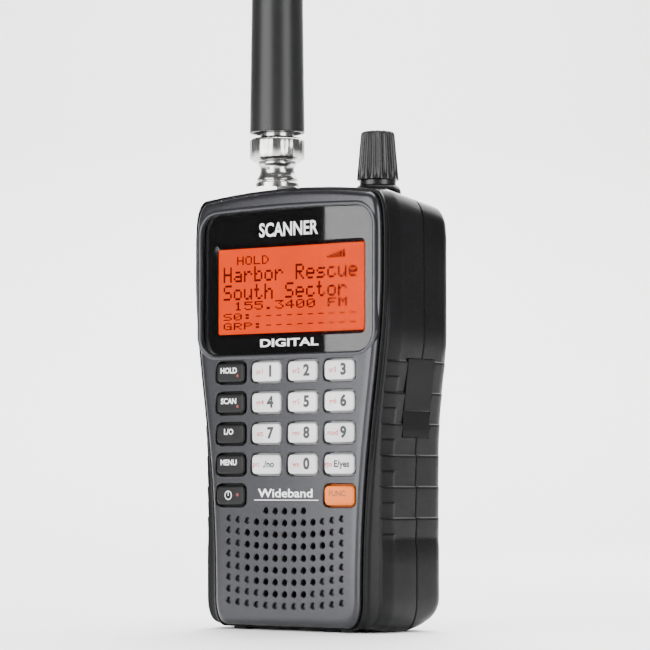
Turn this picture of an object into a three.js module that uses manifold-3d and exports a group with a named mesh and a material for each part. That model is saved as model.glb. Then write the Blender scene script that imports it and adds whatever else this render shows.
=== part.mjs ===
// A handheld radio scanner: a two-part case with a keypad, a lit display, a loudspeaker and three
// cells behind a sliding door, with a bayonet aerial and a push-and-turn dial on top.
// Millimetres. X runs to the right seen from the front, the front faces -Y, and Z is up.
// The origin is the middle of the foot of the whole object's box.
import * as THREE from "three";
import { mergeVertices } from "three/addons/utils/BufferGeometryUtils.js";
import Module from "manifold-3d";

const wasm = await Module();
wasm.setup();

// ---- driving sizes ----

const GAP = 0.3; // between pieces that touch
const LONG = 60; // reach of a cut that goes right through
const CORNER_STEPS = 2; // straight lines in a rounded corner

const cell = { diameter: 14.5, length: 50.5, nub: 5.5, nubRise: 1.1, side: 0.3 };
const bay = { front: -2.6, wall: 1.2, slack: 0.65, endRoom: 1.8 };
const door = { plate: 1.7, tongue: 1.0, rise: 2.3, overlap: 2.4 };
const ledge = 1.4; // the rear case's frame behind the door

const height = 118.7;
const sideRoom = 4.95; // between the battery bay's wall and the grip's
const flare = 2.6; // how much wider the head is than the grip, on each side
const frontFace = -15.5;
const wall = 2.2;
const parting = 2.6;
const backRound = 5;
const topFall = 3.7; // how much lower the top is at the back

const bayHalf = 1.5 * cell.diameter + 2 * cell.side;
const cellY = bay.front + bay.wall + bay.slack + cell.diameter / 2;
const backFace = cellY + cell.diameter / 2 + 2 * GAP + door.plate;
const gripHalf = bayHalf + bay.wall + sideRoom + wall;
const headHalf = gripHalf + flare;
const bayFloor = wall + GAP + bay.wall;
const bayRoof = bayFloor + cell.length + cell.nubRise + 2 * bay.endRoom;

// The display's lens hangs from the top, and the loudspeaker's grille stands on the foot.
const lens = { rise: 39.8, thick: 1.3, sink: 0.15, corner: 5.5, topMargin: 4.6, sideMargin: 4 };
lens.half = headHalf - lens.sideMargin;
lens.top = height - lens.topMargin;
lens.bottom = lens.top - lens.rise;
const screen = { sideMargin: 4.5, topMargin: 10.9, bottomMargin: 5.6 };
screen.half = lens.half - screen.sideMargin;
screen.top = lens.top - screen.topMargin;
screen.bottom = lens.bottom + screen.bottomMargin;

const grille = { columns: 13, rows: 8, pitchX: 3.22, pitchZ: 3.17, foot: 6.6, hole: 0.8, sag: 150 };
grille.top = grille.foot + grille.rows * grille.pitchZ;

const panel = { thick: 2.2, sideInset: 1.8, footInset: 6.2, bottom: 1.2, shoulder: 4.2 };
panel.back = frontFace + panel.thick;
panel.half = headHalf - panel.sideInset;
panel.footHalf = gripHalf - panel.footInset;

const keys = { gapX: 2.4, gapZ: 2.9, proud: 0.4, travel: 0.7, flange: 0.4, rim: 0.8, corner: 1.2 };
keys.low = grille.top + 1.5;
keys.high = lens.bottom - 2.2;
keys.pitchZ = (keys.high - keys.low + keys.gapZ) / 5;
keys.pitchX = (2 * (panel.footHalf - 0.9) + keys.gapX) / 4;
keys.width = keys.pitchX - keys.gapX;
keys.rise = keys.pitchZ - keys.gapZ;
keys.back = panel.back + GAP + keys.rim;

const mat = { thick: 0.9 };
mat.front = keys.back + keys.travel + GAP;
const board = { thick: 1.6, foot: keys.low + 0.7, sideRoom: 3.7 };
board.front = mat.front + mat.thick + GAP;
board.back = board.front + board.thick;

const speaker = { z: (grille.foot + grille.top) / 2, magnet: 7, magnetDeep: 3.2 };
speaker.radius = speaker.z - wall - 3.3;

const deck = height - 2.1; // floor of the round seats on top
const topY = 2.8; // the aerial, the earphone socket and the dial stand in one row
const bossX = headHalf - 6.7;
const dialX = bossX - 9;
const aerialX = -(bossX - 9.3);
const clipZ = height - 22.7; // the belt clip's pin
const screwRows = [bayRoof + 17.3, height - 12.7];

// Where the sides begin and end their swell from the grip to the head.
const waist = { low: keys.low + 10.5, high: lens.bottom + 5.7 };

// The opening in the back that the door closes; its front is where the door's frame begins.
const doorway = {
  half: bayHalf + bay.wall + door.overlap / 2,
  top: bayRoof + bay.wall + door.rise / 2,
  front: backFace - door.plate - GAP,
};

// Screws from the back into posts of the front half.
const post = { radius: 2.9, hole: 1.4, seat: 2.7, seatDeep: 1.8, front: -6, blind: -4.5, web: 0.6 };
const foot = { x: 18.3, half: 2.3, front: frontFace + 3, back: frontFace + 6.5 };

// The belt clip, about its pin's place on the back, with y out of the back.
const clip = { half: 8, plate: 1.6, pinY: 4.4, pin: 1, leverHalf: 6.2, lever: 1.8, thumb: 14, toe: 32 };
clip.screwZ = -9;

// The rubber flap on the right side and the socket behind its upper half, over the battery bay.
const flap = { low: bayRoof - 7.3, high: bayRoof + 13.4, front: -3.9, back: 7.9, thick: 1.4 };
const socket = { z: bayRoof + 6.5, y: 2.1, width: 8.2, rise: 3.8, deep: 7 };

// The aerial's socket and the dial, each about its own axis, with heights from the deck.
const jack = { barrel: 4.7, nutRise: 6, top: 17.6, tail: 8.6 };
jack.bore = jack.barrel - 0.9;
jack.ring = jack.barrel + 2.55;
const whip = { foot: 19.7, length: 164.8, footRadius: jack.ring, tipRadius: 5.5 };
const dial = { foot: 4.3, top: 17.8, topRadius: 4.7, shaft: 3 };
dial.neck = dial.shaft + 1.9;
dial.footRadius = dial.shaft + 2.75;

// ---- shapes and solids ----

// A closed three.js geometry as a solid that can be cut and joined.
function solid(geometry) {
  const bare = new THREE.BufferGeometry();
  bare.setAttribute("position", geometry.getAttribute("position"));
  bare.setIndex(geometry.index);
  const merged = mergeVertices(bare, 1e-4);
  return new wasm.Manifold(
    new wasm.Mesh({
      numProp: 3,
      vertProperties: merged.attributes.position.array,
      triVerts: new Uint32Array(merged.index.array),
    }),
  );
}

const join = (first, ...rest) => rest.reduce((whole, next) => whole.add(next), first);
const cut = (first, ...rest) => rest.reduce((whole, next) => whole.subtract(next), first);
const common = (first, ...rest) => rest.reduce((whole, next) => whole.intersect(next), first);

function box(x0, x1, y0, y1, z0, z1) {
  const geometry = new THREE.BoxGeometry(x1 - x0, y1 - y0, z1 - z0);
  return solid(geometry.translate((x0 + x1) / 2, (y0 + y1) / 2, (z0 + z1) / 2));
}

const AXES = {
  x: new THREE.Matrix4().makeBasis(
    new THREE.Vector3(0, 1, 0), new THREE.Vector3(0, 0, 1), new THREE.Vector3(1, 0, 0)),
  y: new THREE.Matrix4().makeBasis(
    new THREE.Vector3(1, 0, 0), new THREE.Vector3(0, 0, 1), new THREE.Vector3(0, -1, 0)),
  z: new THREE.Matrix4(),
};

// A flat outline pushed along an axis from one value to the other. Along x the outline is drawn
// in y and z, along y in x and z, and along z in x and y.
function slab(axis, outline, from, to) {
  const shape = outline instanceof THREE.Shape ? outline : new THREE.Shape(outline);
  const options = { depth: to - from, bevelEnabled: false, curveSegments: CORNER_STEPS };
  const geometry = new THREE.ExtrudeGeometry(shape, options);
  geometry.translate(0, 0, axis === "y" ? -to : from);
  return solid(geometry.applyMatrix4(AXES[axis]));
}

function circle(x, y, radius, sides) {
  const corner = (_, i) => {
    const turn = ((i + 0.5) / sides) * 2 * Math.PI;
    return new THREE.Vector2(x + radius * Math.cos(turn), y + radius * Math.sin(turn));
  };
  return Array.from({ length: sides }, corner);
}

const rod = (axis, x, y, radius, from, to, sides = 20) => slab(axis, circle(x, y, radius, sides), from, to);

function roundedRectangle(x0, x1, z0, z1, radius) {
  const shape = new THREE.Shape();
  shape.absarc(x1 - radius, z0 + radius, radius, -Math.PI / 2, 0);
  shape.absarc(x1 - radius, z1 - radius, radius, 0, Math.PI / 2);
  shape.absarc(x0 + radius, z1 - radius, radius, Math.PI / 2, Math.PI);
  shape.absarc(x0 + radius, z0 + radius, radius, Math.PI, 1.5 * Math.PI);
  shape.closePath();
  return shape;
}

// A profile of [radius, height] pairs turned about Z.
function turned(profile, sides = 18) {
  const points = profile.map(([radius, z]) => new THREE.Vector2(radius, z));
  return solid(new THREE.LatheGeometry(points, sides).rotateX(Math.PI / 2));
}

// The same about Y: a profile of [radius, y] pairs, from the front to the back.
function turnedAboutY(profile, z, sides = 20) {
  const points = profile.map(([radius, y]) => new THREE.Vector2(radius, y));
  return solid(new THREE.LatheGeometry(points, sides).translate(0, 0, z));
}

// A skin through outlines of equally many points, each at its own y, closed by flat ends.
function loft(rings) {
  const count = rings[0].outline.length;
  const positions = rings.flatMap(({ outline, y }) => outline.flatMap((p) => [p.x, y, p.y]));
  const faces = [];
  for (let ring = 0; ring < rings.length - 1; ring++) {
    for (let i = 0; i < count; i++) {
      const next = (i + 1) % count;
      const a = ring * count;
      const b = a + count;
      faces.push(a + i, b + next, a + next, a + i, b + i, b + next);
    }
  }
  const last = (rings.length - 1) * count;
  for (const [i, j, k] of THREE.ShapeUtils.triangulateShape(rings[0].outline, [])) {
    faces.push(i, j, k);
  }
  for (const [i, j, k] of THREE.ShapeUtils.triangulateShape(rings.at(-1).outline, [])) {
    faces.push(last + i, last + k, last + j);
  }
  const geometry = new THREE.BufferGeometry();
  geometry.setAttribute("position", new THREE.Float32BufferAttribute(positions, 3));
  geometry.setIndex(faces);
  return solid(geometry);
}

// ---- outlines seen from the front ----

// Straight sides at the grip swell to the wider head, under a softly arched top.
function frontOutline({ foot, head, bottom, top, waistLow, waistHigh, heel, shoulder, crown }) {
  const swell = waistHigh - waistLow;
  const right = new THREE.Path();
  right.moveTo(0, bottom);
  right.lineTo(foot - heel, bottom);
  right.quadraticCurveTo(foot, bottom, foot, bottom + heel);
  right.lineTo(foot, waistLow);
  right.bezierCurveTo(foot, waistLow + 0.5 * swell, head, waistHigh - 0.3 * swell, head, waistHigh);
  right.lineTo(head, top - crown - shoulder);
  right.quadraticCurveTo(head, top - crown, head - shoulder, top - crown);
  right.quadraticCurveTo((head - shoulder) / 2, top, 0, top);
  const points = right.getPoints(4);
  const mirrored = points.slice(1, -1).reverse().map((p) => new THREE.Vector2(-p.x, p.y));
  return [...points, ...mirrored];
}

const caseOutline = (inset) =>
  frontOutline({
    foot: gripHalf - inset,
    head: headHalf - inset,
    bottom: inset,
    top: height - GAP - inset,
    waistLow: waist.low,
    waistHigh: waist.high,
    heel: 5.5 - Math.min(inset, 2),
    shoulder: 5.5 - Math.min(inset, 2),
    crown: 2.3,
  });

const panelOutline = (inset, topInset = 1.4 * inset) =>
  frontOutline({
    foot: panel.footHalf - inset,
    head: panel.half - inset,
    bottom: panel.bottom + inset,
    top: height - topInset,
    waistLow: panel.bottom + 7,
    waistHigh: lens.bottom + 22,
    heel: 4,
    shoulder: panel.shoulder,
    crown: 2.1,
  });

const between = (a, b, share) => a.map((point, i) => point.clone().lerp(b[i], share));

// ---- the case ----

// The case's outer skin, from the rim round the front panel to the rounded back.
function caseSkin() {
  const rim = panelOutline(-0.9, GAP);
  const side = caseOutline(0);
  const quarter = [0, 30, 60, 90].map((degrees) => THREE.MathUtils.degToRad(degrees));
  const back = quarter.map((turn) => ({
    outline: caseOutline(backRound * (1 - Math.cos(turn))),
    y: backFace - backRound * (1 - Math.sin(turn)),
  }));
  const skin = loft([
    { outline: rim, y: frontFace + 1.5 },
    { outline: between(rim, side, 0.6), y: frontFace + 2.9 },
    { outline: between(rim, side, 0.87), y: frontFace + 4.5 },
    { outline: side, y: frontFace + 6.5 },
    ...back,
  ]);
  return common(skin, sideTrim());
}

// The outline seen from the side: a falling top at the back and a round heel.
function sideTrim() {
  const heel = 7;
  const crest = 5;
  const shape = new THREE.Shape();
  shape.moveTo(frontFace - 2, -1);
  shape.lineTo(backFace - heel, -1);
  shape.lineTo(backFace - heel, 0);
  shape.absarc(backFace - heel, heel, heel, -Math.PI / 2, 0);
  shape.absarc(backFace - crest, height - topFall - crest, crest, 0, Math.PI / 2);
  shape.lineTo(frontFace + 9.5, height);
  shape.lineTo(frontFace - 2, height);
  shape.closePath();
  return slab("x", shape, -LONG, LONG);
}

function caseCavity() {
  const mouth = panelOutline(0.9);
  const side = caseOutline(wall);
  const hollow = loft([
    { outline: mouth, y: frontFace - 1 },
    { outline: mouth, y: frontFace + 3.1 },
    { outline: between(mouth, side, 0.85), y: frontFace + 5 },
    { outline: side, y: frontFace + 7 },
    { outline: side, y: doorway.front - ledge },
  ]);
  return common(hollow, box(-LONG, LONG, -LONG, LONG, 0, height - topFall - wall));
}

// Shingles on both sides of the grip: each step faces up and tapers in below its edge.
function gripRibs() {
  const ribs = [];
  for (let i = 0; i < 6; i++) {
    const top = flap.high - 0.4 - i * keys.pitchZ;
    for (const side of [-1, 1]) {
      const outer = side * (headHalf + 4);
      const inner = side * (sideAt(top) - 0.4);
      const edge = side * (sideAt(top - keys.pitchZ) + 0.1);
      const notch = [
        new THREE.Vector2(inner, top),
        new THREE.Vector2(outer, top + 3.8),
        new THREE.Vector2(outer, top - keys.pitchZ + 1),
        new THREE.Vector2(edge, top - keys.pitchZ + 1),
      ];
      if (side > 0) notch.reverse();
      ribs.push(slab("y", notch, frontFace + 7, backFace - backRound));
    }
  }
  return ribs;
}

// The case's half-width at a height, near enough for what is let into its sides.
function sideAt(z) {
  const share = THREE.MathUtils.clamp((z - waist.low) / (waist.high - waist.low), 0, 1);
  return gripHalf + flare * share * share * (3 - 2 * share);
}

// Everything let into the case from outside, shared by both halves.
function caseCuts() {
  const flapFace = sideAt((flap.low + flap.high) / 2);
  return join(
    rod("z", aerialX, topY, jack.barrel + GAP, height - 20, height + LONG),
    rod("z", aerialX, topY, jack.barrel + 2.6, deck, height + LONG),
    rod("z", dialX, topY, dial.shaft + 2 * GAP, height - 20, height + LONG),
    rod("z", dialX, topY, dial.neck + 1.6, deck, height + LONG),
    rod("z", 0, topY, 4.1, height - 20, height + LONG),
    box(flapFace - flap.thick - GAP, flapFace + LONG, flap.front - GAP, flap.back + GAP,
      flap.low - GAP, flap.high + GAP),
    box(flapFace - LONG / 6, flapFace, socket.y - socket.width / 2, socket.y + socket.width / 2,
      socket.z - socket.rise / 2, socket.z + socket.rise / 2),
  );
}

const skin = caseSkin();
const cavity = caseCavity();
const cuts = caseCuts();
const ribCuts = gripRibs();

const screwHoles = (radius, from, to) =>
  screwRows.flatMap((z) => [-bossX, bossX].map((x) => rod("y", x, z, radius, from, to, 12)));

function frontCase() {
  const pocket = loft([
    { outline: panelOutline(-GAP), y: frontFace - 2 },
    { outline: panelOutline(-GAP), y: panel.back + GAP },
  ]);
  const shell = cut(skin, pocket, cavity, cuts, box(-LONG, LONG, parting - GAP / 2, LONG, -LONG, 3 * LONG));
  const posts = screwHoles(post.radius, post.front, parting - GAP / 2);
  const webs = screwRows.flatMap((z) => [
    box(bossX, headHalf - wall / 2, post.front, parting - GAP / 2, z - post.web, z + post.web),
    box(-headHalf + wall / 2, -bossX, post.front, parting - GAP / 2, z - post.web, z + post.web),
  ]);
  const feet = [-foot.x, foot.x].map((x) =>
    box(x - foot.half, x + foot.half, foot.front, foot.back, 0, wall));
  return cut(join(shell, ...posts, ...webs, ...feet), ...screwHoles(post.hole, post.blind, LONG), ...ribCuts);
}

function rearCase() {
  const shell = cut(skin, cavity, cuts, box(-LONG, LONG, -LONG, parting + GAP / 2, -LONG, 3 * LONG));
  const tub = box(-bayHalf - bay.wall, bayHalf + bay.wall, bay.front, doorway.front - ledge / 2,
    bayFloor - bay.wall, bayRoof + bay.wall);
  const inside = box(-bayHalf, bayHalf, bay.front + bay.wall, LONG, bayFloor, bayRoof);
  const opening = box(-doorway.half, doorway.half, doorway.front, LONG, -LONG, doorway.top);
  const grooves = box(-doorway.half - door.tongue, doorway.half + door.tongue, doorway.front,
    doorway.front + door.tongue + GAP, -LONG, doorway.top - 2);
  return cut(
    join(shell, ...screwHoles(post.radius, parting + GAP / 2, doorway.front - ledge / 2), tub),
    inside,
    opening,
    grooves,
    ...screwHoles(post.hole, 0, LONG),
    ...screwHoles(post.seat, backFace - post.seatDeep, LONG),
    rod("y", 0, clipZ + clip.screwZ, post.hole, backFace - 3, LONG, 10),
    ...ribCuts,
  );
}

function batteryDoor() {
  const grip = { half: 7, pitch: 1.8, rise: 0.8, deep: 0.5 };
  const half = doorway.half - GAP;
  const top = doorway.top - GAP;
  const inner = backFace - door.plate;
  const plate = common(skin, box(-half, half, inner, LONG, -LONG, top));
  const tongues = common(skin, box(-half - door.tongue, half + door.tongue, inner,
    inner + door.tongue - GAP, 6, top - 2));
  const thumbGrips = [0, 1, 2, 3].map((i) => {
    const low = top - 9 + i * grip.pitch;
    return box(-grip.half, grip.half, backFace - grip.deep, LONG, low, low + grip.rise);
  });
  return cut(join(plate, tongues), ...thumbGrips);
}

// ---- the front ----

const keyColumn = (column) => (column - 1.5) * keys.pitchX;
const keyRow = (row) => keys.high - keys.rise / 2 - row * keys.pitchZ;

function lensSlab(inset, from, to) {
  const outline = roundedRectangle(-lens.half + inset, lens.half - inset, lens.bottom + inset,
    lens.top - inset, lens.corner - inset);
  return slab("y", outline, from, to);
}

// The holes that let the sound through sit in rows that rise a little towards both sides.
function grilleHoles() {
  const openColumns = [5, 7, 9, 9, 9, 9, 7]; // from the lowest row that is open
  const holes = [];
  openColumns.forEach((count, row) => {
    for (let i = 0; i < count; i++) {
      const x = (i - (count - 1) / 2) * grille.pitchX;
      const z = grille.foot + (row + 1) * grille.pitchZ + (x * x) / (2 * grille.sag);
      holes.push(rod("y", x, z, grille.hole, frontFace - 1, panel.back + 1, 6));
    }
  });
  return holes;
}

function frontPanel() {
  const plate = loft([
    { outline: panelOutline(1.2), y: frontFace },
    { outline: panelOutline(0.45), y: frontFace + 0.35 },
    { outline: panelOutline(0), y: frontFace + 1.1 },
    { outline: panelOutline(0), y: panel.back },
  ]);
  const pocketFloor = frontFace + lens.sink + lens.thick + GAP;
  const window = slab("y",
    roundedRectangle(-screen.half - 0.8, screen.half + 0.8, screen.bottom - 0.8, screen.top + 0.8, 1),
    frontFace - 1, panel.back + 1);
  const keyHoles = [];
  for (let row = 0; row < 5; row++) {
    for (let column = 0; column < 4; column++) {
      if (row === 4 && column !== 0 && column !== 3) continue;
      const x = keyColumn(column);
      const z = keyRow(row);
      keyHoles.push(slab("y",
        roundedRectangle(x - keys.width / 2 - GAP, x + keys.width / 2 + GAP,
          z - keys.rise / 2 - GAP, z + keys.rise / 2 + GAP, keys.corner + GAP),
        frontFace - 1, panel.back + 1));
    }
  }
  return cut(plate, lensSlab(-GAP, frontFace - 1, pocketFloor), window, ...keyHoles, ...grilleHoles());
}

// One key about its own middle, with a rim behind the panel that keeps it in.
function keyBody() {
  const halfWidth = keys.width / 2;
  const halfRise = keys.rise / 2;
  const cap = roundedRectangle(-halfWidth, halfWidth, -halfRise, halfRise, keys.corner);
  const rim = roundedRectangle(-halfWidth - keys.flange, halfWidth + keys.flange,
    -halfRise - keys.flange, halfRise + keys.flange, keys.corner);
  return join(
    slab("y", cap, frontFace - keys.proud, keys.back),
    slab("y", rim, keys.back - keys.rim, keys.back),
  );
}

// ---- behind the front ----

const lcd = { front: panel.back + GAP, glass: 1.1, light: 1.1, margin: 1.9, frame: 2 };
lcd.lightFront = lcd.front + lcd.glass + GAP;
lcd.frameBack = board.front - GAP;

const lcdPlate = (margin, from, to) =>
  box(-screen.half - margin, screen.half + margin, from, to, screen.bottom - margin, screen.top + margin);

const lcdFrame = () =>
  cut(
    lcdPlate(lcd.margin + GAP + lcd.frame, lcd.front, lcd.frameBack),
    lcdPlate(lcd.margin + GAP, lcd.front - 1, lcd.frameBack + 1),
  );

const keypadMat = () =>
  slab("y",
    roundedRectangle(keyColumn(0) - keys.width / 2, keyColumn(3) + keys.width / 2,
      keys.low, keys.high, 2),
    mat.front, mat.front + mat.thick);

const mainBoard = () =>
  cut(
    box(-gripHalf + board.sideRoom, gripHalf - board.sideRoom, board.front, board.back,
      board.foot, height - 7.5),
    ...[-1, 1].map((side) =>
      rod("y", side * (gripHalf - board.sideRoom - 2.3), board.foot + 2.5, 1.2,
        board.front - 1, board.back + 1, 10)),
  );

const shieldCan = () =>
  box(aerialX - 4, -aerialX / 2, board.back + GAP, board.back + GAP + 2.4,
    screen.bottom + 2, screen.top - 1);

const speakerCloth = () =>
  turnedAboutY([[0, panel.back + GAP], [speaker.radius, panel.back + GAP],
    [speaker.radius, panel.back + 2 * GAP], [0, panel.back + 2 * GAP]], speaker.z);

const speakerFront = panel.back + 3 * GAP;
const speakerBack = speakerFront + 4.2;

const speakerFrame = () =>
  turnedAboutY([
    [speaker.radius - 1.6, speakerFront],
    [speaker.radius, speakerFront],
    [speaker.radius, speakerFront + 0.8],
    [speaker.radius - 1.2, speakerFront + 1.2],
    [speaker.magnet, speakerBack],
    [speaker.magnet - 2.2, speakerBack],
    [speaker.magnet - 2.2, speakerBack - 0.8],
    [speaker.magnet - 0.4, speakerBack - 0.8],
    [speaker.radius - 1.6, speakerFront + 1],
    [speaker.radius - 1.6, speakerFront],
  ], speaker.z);

// A shallow paper cone with a domed cap.
const speakerCone = () =>
  turnedAboutY([
    [0, speakerFront + 1],
    [2.5, speakerFront + 1.5],
    [3.2, speakerFront + 2.2],
    [speaker.radius - 2, speakerFront],
    [speaker.radius - 2, speakerFront + 0.5],
    [3.4, speakerFront + 2.9],
    [0, speakerFront + 2.9],
  ], speaker.z);

const speakerMagnet = () =>
  turnedAboutY([[0, speakerBack + GAP], [speaker.magnet, speakerBack + GAP],
    [speaker.magnet, speakerBack + GAP + speaker.magnetDeep],
    [0, speakerBack + GAP + speaker.magnetDeep]], speaker.z, 20);

// ---- power ----

const cellFoot = bayFloor + bay.endRoom;

const cellBody = () =>
  turned([
    [0, 0],
    [cell.diameter / 2 - 0.4, 0],
    [cell.diameter / 2, 0.4],
    [cell.diameter / 2, cell.length - 0.6],
    [cell.diameter / 2 - 0.6, cell.length],
    [cell.nub / 2, cell.length],
    [cell.nub / 2, cell.length + cell.nubRise],
    [0, cell.length + cell.nubRise],
  ], 18);

// A contact plate with a raised seat for each of the three cells.
function contactPlate(z, thick, rise) {
  const seats = [-1, 0, 1].map((i) =>
    rod("z", i * (cell.diameter + cell.side), cellY, 2.4, Math.min(z, z + rise), Math.max(z + thick, z + rise), 10));
  const half = bayHalf - 2 * GAP;
  return join(box(-half, half, cellY - 4, cellY + 4, z, z + thick), ...seats);
}

// ---- the top ----

function aerialSocket() {
  const barrel = turned([
    [0, -jack.tail],
    [jack.barrel, -jack.tail],
    [jack.barrel, jack.nutRise + GAP],
    [jack.barrel + 0.7, jack.nutRise + GAP],
    [jack.barrel + 0.7, jack.nutRise + 1.8],
    [jack.barrel, jack.nutRise + 2.6],
    [jack.barrel, 10.4],
    [jack.barrel + 0.8, 10.6],
    [jack.barrel + 0.8, 11.2],
    [jack.barrel, 11.4],
    [jack.barrel, jack.top],
    [jack.bore, jack.top],
    [jack.bore, jack.nutRise + 0.5],
    [0, jack.nutRise + 0.5],
  ]);
  const lugs = rod("x", 0, 14.9, 0.9, -jack.barrel - 0.9, jack.barrel + 0.9, 6);
  const bore = rod("z", 0, 0, jack.bore, jack.nutRise + 0.5, jack.top + 1, 24);
  return cut(join(barrel, lugs), bore);
}

const aerialNut = () =>
  cut(
    join(rod("z", 0, 0, jack.barrel + 2.25, GAP, 4.6, 6),
      rod("z", 0, 0, jack.barrel + 1.2, 4.6, jack.nutRise, 24)),
    rod("z", 0, 0, jack.barrel + GAP, -1, jack.nutRise + 1, 24),
  );

// The bayonet ring is grooved inside for the socket's two lugs.
function aerialRing() {
  const inner = jack.barrel + 0.4;
  const groove = jack.barrel + 1.25;
  const neck = jack.bore + GAP;
  return turned([
    [inner, 12.4], [jack.ring - 0.55, 12.4], [jack.ring, 13.1], [jack.ring, 17.6],
    [jack.ring - 0.65, 18.2], [neck, 18.2], [neck, 17.9], [inner, 17.9],
    [inner, 16.2], [groove, 16.2], [groove, 13.6], [inner, 13.6], [inner, 12.4],
  ]);
}

const aerialPlug = () =>
  turned([
    [0, 8], [0.7, 8], [0.7, 9.6], [jack.bore - GAP, 9.6], [jack.bore - GAP, 18.5],
    [jack.barrel + 0.9, 18.5], [jack.barrel + 1.9, 19.4], [0, 19.4],
  ]);

function aerialWhip() {
  const top = whip.foot + whip.length;
  const dome = [60, 30, 0].map((degrees) => {
    const turn = THREE.MathUtils.degToRad(degrees);
    return [whip.tipRadius * Math.sin(turn), top - whip.tipRadius * (1 - Math.cos(turn)) * 0.8];
  });
  return turned([
    [0, whip.foot],
    [whip.footRadius - 0.6, whip.foot],
    [whip.footRadius, whip.foot + 0.7],
    [whip.tipRadius, top - whip.tipRadius * 0.8],
    ...dome,
  ]);
}

function dialKnob() {
  const profile = turned([
    [0, dial.foot - 1.2],
    [dial.neck, dial.foot - 1.2],
    [dial.neck, dial.foot],
    [dial.footRadius, dial.foot],
    [dial.topRadius, dial.top - 0.9],
    [dial.topRadius - 0.9, dial.top],
    [0, dial.top],
  ]);
  const flutes = circle(0, 0, dial.footRadius + 0.35, 12).map((p) => rod("z", p.x, p.y, 0.6, dial.foot + 1.5, LONG, 6));
  return cut(profile, rod("z", 0, 0, dial.shaft + GAP, 0, dial.top - 5), ...flutes);
}

const dialShaft = () => rod("z", 0, 0, dial.shaft, -11, dial.top - 5 - GAP, 18);

function dialCollar() {
  const inner = dial.neck + GAP;
  return turned([[inner, GAP], [inner + 1, GAP], [inner + 1, 2.4], [inner + 0.5, 3], [inner, 3], [inner, GAP]]);
}

// The encoder under the deck: its rotor turns with the shaft, which slides through it.
const encoder = { top: -4.2, bottom: -12.4, rotor: dial.shaft + 1.5, half: dial.shaft + 2.5 };

const encoderRotor = () =>
  cut(rod("z", 0, 0, encoder.rotor, encoder.bottom + 2.6, encoder.top, 18),
    rod("z", 0, 0, dial.shaft + GAP, -LONG, LONG, 18));

const encoderBody = () =>
  cut(box(-encoder.half, encoder.half, -encoder.half, encoder.half, encoder.bottom, encoder.top),
    rod("z", 0, 0, encoder.rotor + GAP, encoder.bottom + 2.3, 0, 18),
    rod("z", 0, 0, dial.shaft + GAP, encoder.bottom + 0.5, 0, 18));

const phoneSocket = () => cut(
  join(rod("z", 0, 0, 3.8, -9, 0.4, 18), box(-4.2, 4.2, -4.2, 4.2, -13, -8)),
  rod("z", 0, 0, 1.8, -10, 1, 12));

// ---- sides and back ----

function portFlap() {
  const flapFace = sideAt((flap.low + flap.high) / 2);
  return common(skin, box(flapFace - flap.thick, LONG, flap.front, flap.back, flap.low, flap.high));
}

function usbSocket() {
  const face = sideAt(socket.z) - wall - 2 * GAP;
  const bodyHalf = socket.width / 2;
  return cut(
    box(face - socket.deep, face, socket.y - bodyHalf, socket.y + bodyHalf, socket.z - 2.2, socket.z + 2.2),
    box(face - 5, face + 1, socket.y - bodyHalf + 0.5, socket.y + bodyHalf - 0.5, socket.z - 1.5, socket.z + 1.5),
  );
}

// A pan-head screw pointing at the front, about its own axis along Y, its head's back at zero.
const caseScrew = () =>
  cut(
    join(rod("y", 0, 0, 2.4, -1.3, 0, 16), rod("y", 0, 0, 1.1, -17, -1.3, 10)),
    box(-1.4, 1.4, -0.6, 1, -0.25, 0.25),
    box(-0.25, 0.25, -0.6, 1, -1.4, 1.4),
  );

function clipBracket() {
  const plate = slab("y", roundedRectangle(-clip.half, clip.half, -14, 9, 2), GAP, clip.plate);
  const ears = [-1, 1].map((side) => {
    const outer = side * clip.half;
    const inner = side * (clip.half - 1.3);
    return join(
      box(Math.min(outer, inner), Math.max(outer, inner), clip.plate - 0.2, clip.pinY, -2, 2),
      rod("x", clip.pinY, 0, 2, Math.min(outer, inner), Math.max(outer, inner), 12),
    );
  });
  return cut(join(plate, ...ears), rod("x", clip.pinY, 0, clip.pin + GAP, -LONG, LONG, 12),
    rod("y", 0, clip.screwZ, 1.4, -1, LONG, 10), rod("y", 0, clip.screwZ, 2.7, clip.plate - 0.7, LONG, 14));
}

const clipScrew = () => join(rod("y", 0, 0, 2.4, 0, 1.1, 14), rod("y", 0, 0, 1.1, -3.2, 0, 10));

const clipPin = () => rod("x", clip.pinY, 0, clip.pin, -clip.half, clip.half, 12);

// A long lever whose toe turns in towards the back.
function clipLever() {
  const back = clip.pinY + 0.6;
  const shape = new THREE.Shape();
  shape.moveTo(back, clip.thumb);
  shape.lineTo(back, -clip.toe + 5);
  shape.quadraticCurveTo(back, -clip.toe + 2, back - 3, -clip.toe + 1);
  shape.lineTo(back - 3, -clip.toe);
  shape.quadraticCurveTo(back + clip.lever, -clip.toe, back + clip.lever, -clip.toe + 5);
  shape.lineTo(back + clip.lever, clip.thumb);
  shape.closePath();
  const blade = slab("x", shape, -clip.leverHalf, clip.leverHalf);
  const knuckle = rod("x", clip.pinY, 0, 2.2, -clip.leverHalf, clip.leverHalf, 14);
  return cut(join(blade, knuckle), rod("x", clip.pinY, 0, clip.pin + GAP, -LONG, LONG, 12));
}

// ---- materials ----

const finish = (color, roughness, metalness = 0) => new THREE.MeshStandardMaterial({ color, roughness, metalness });

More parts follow.
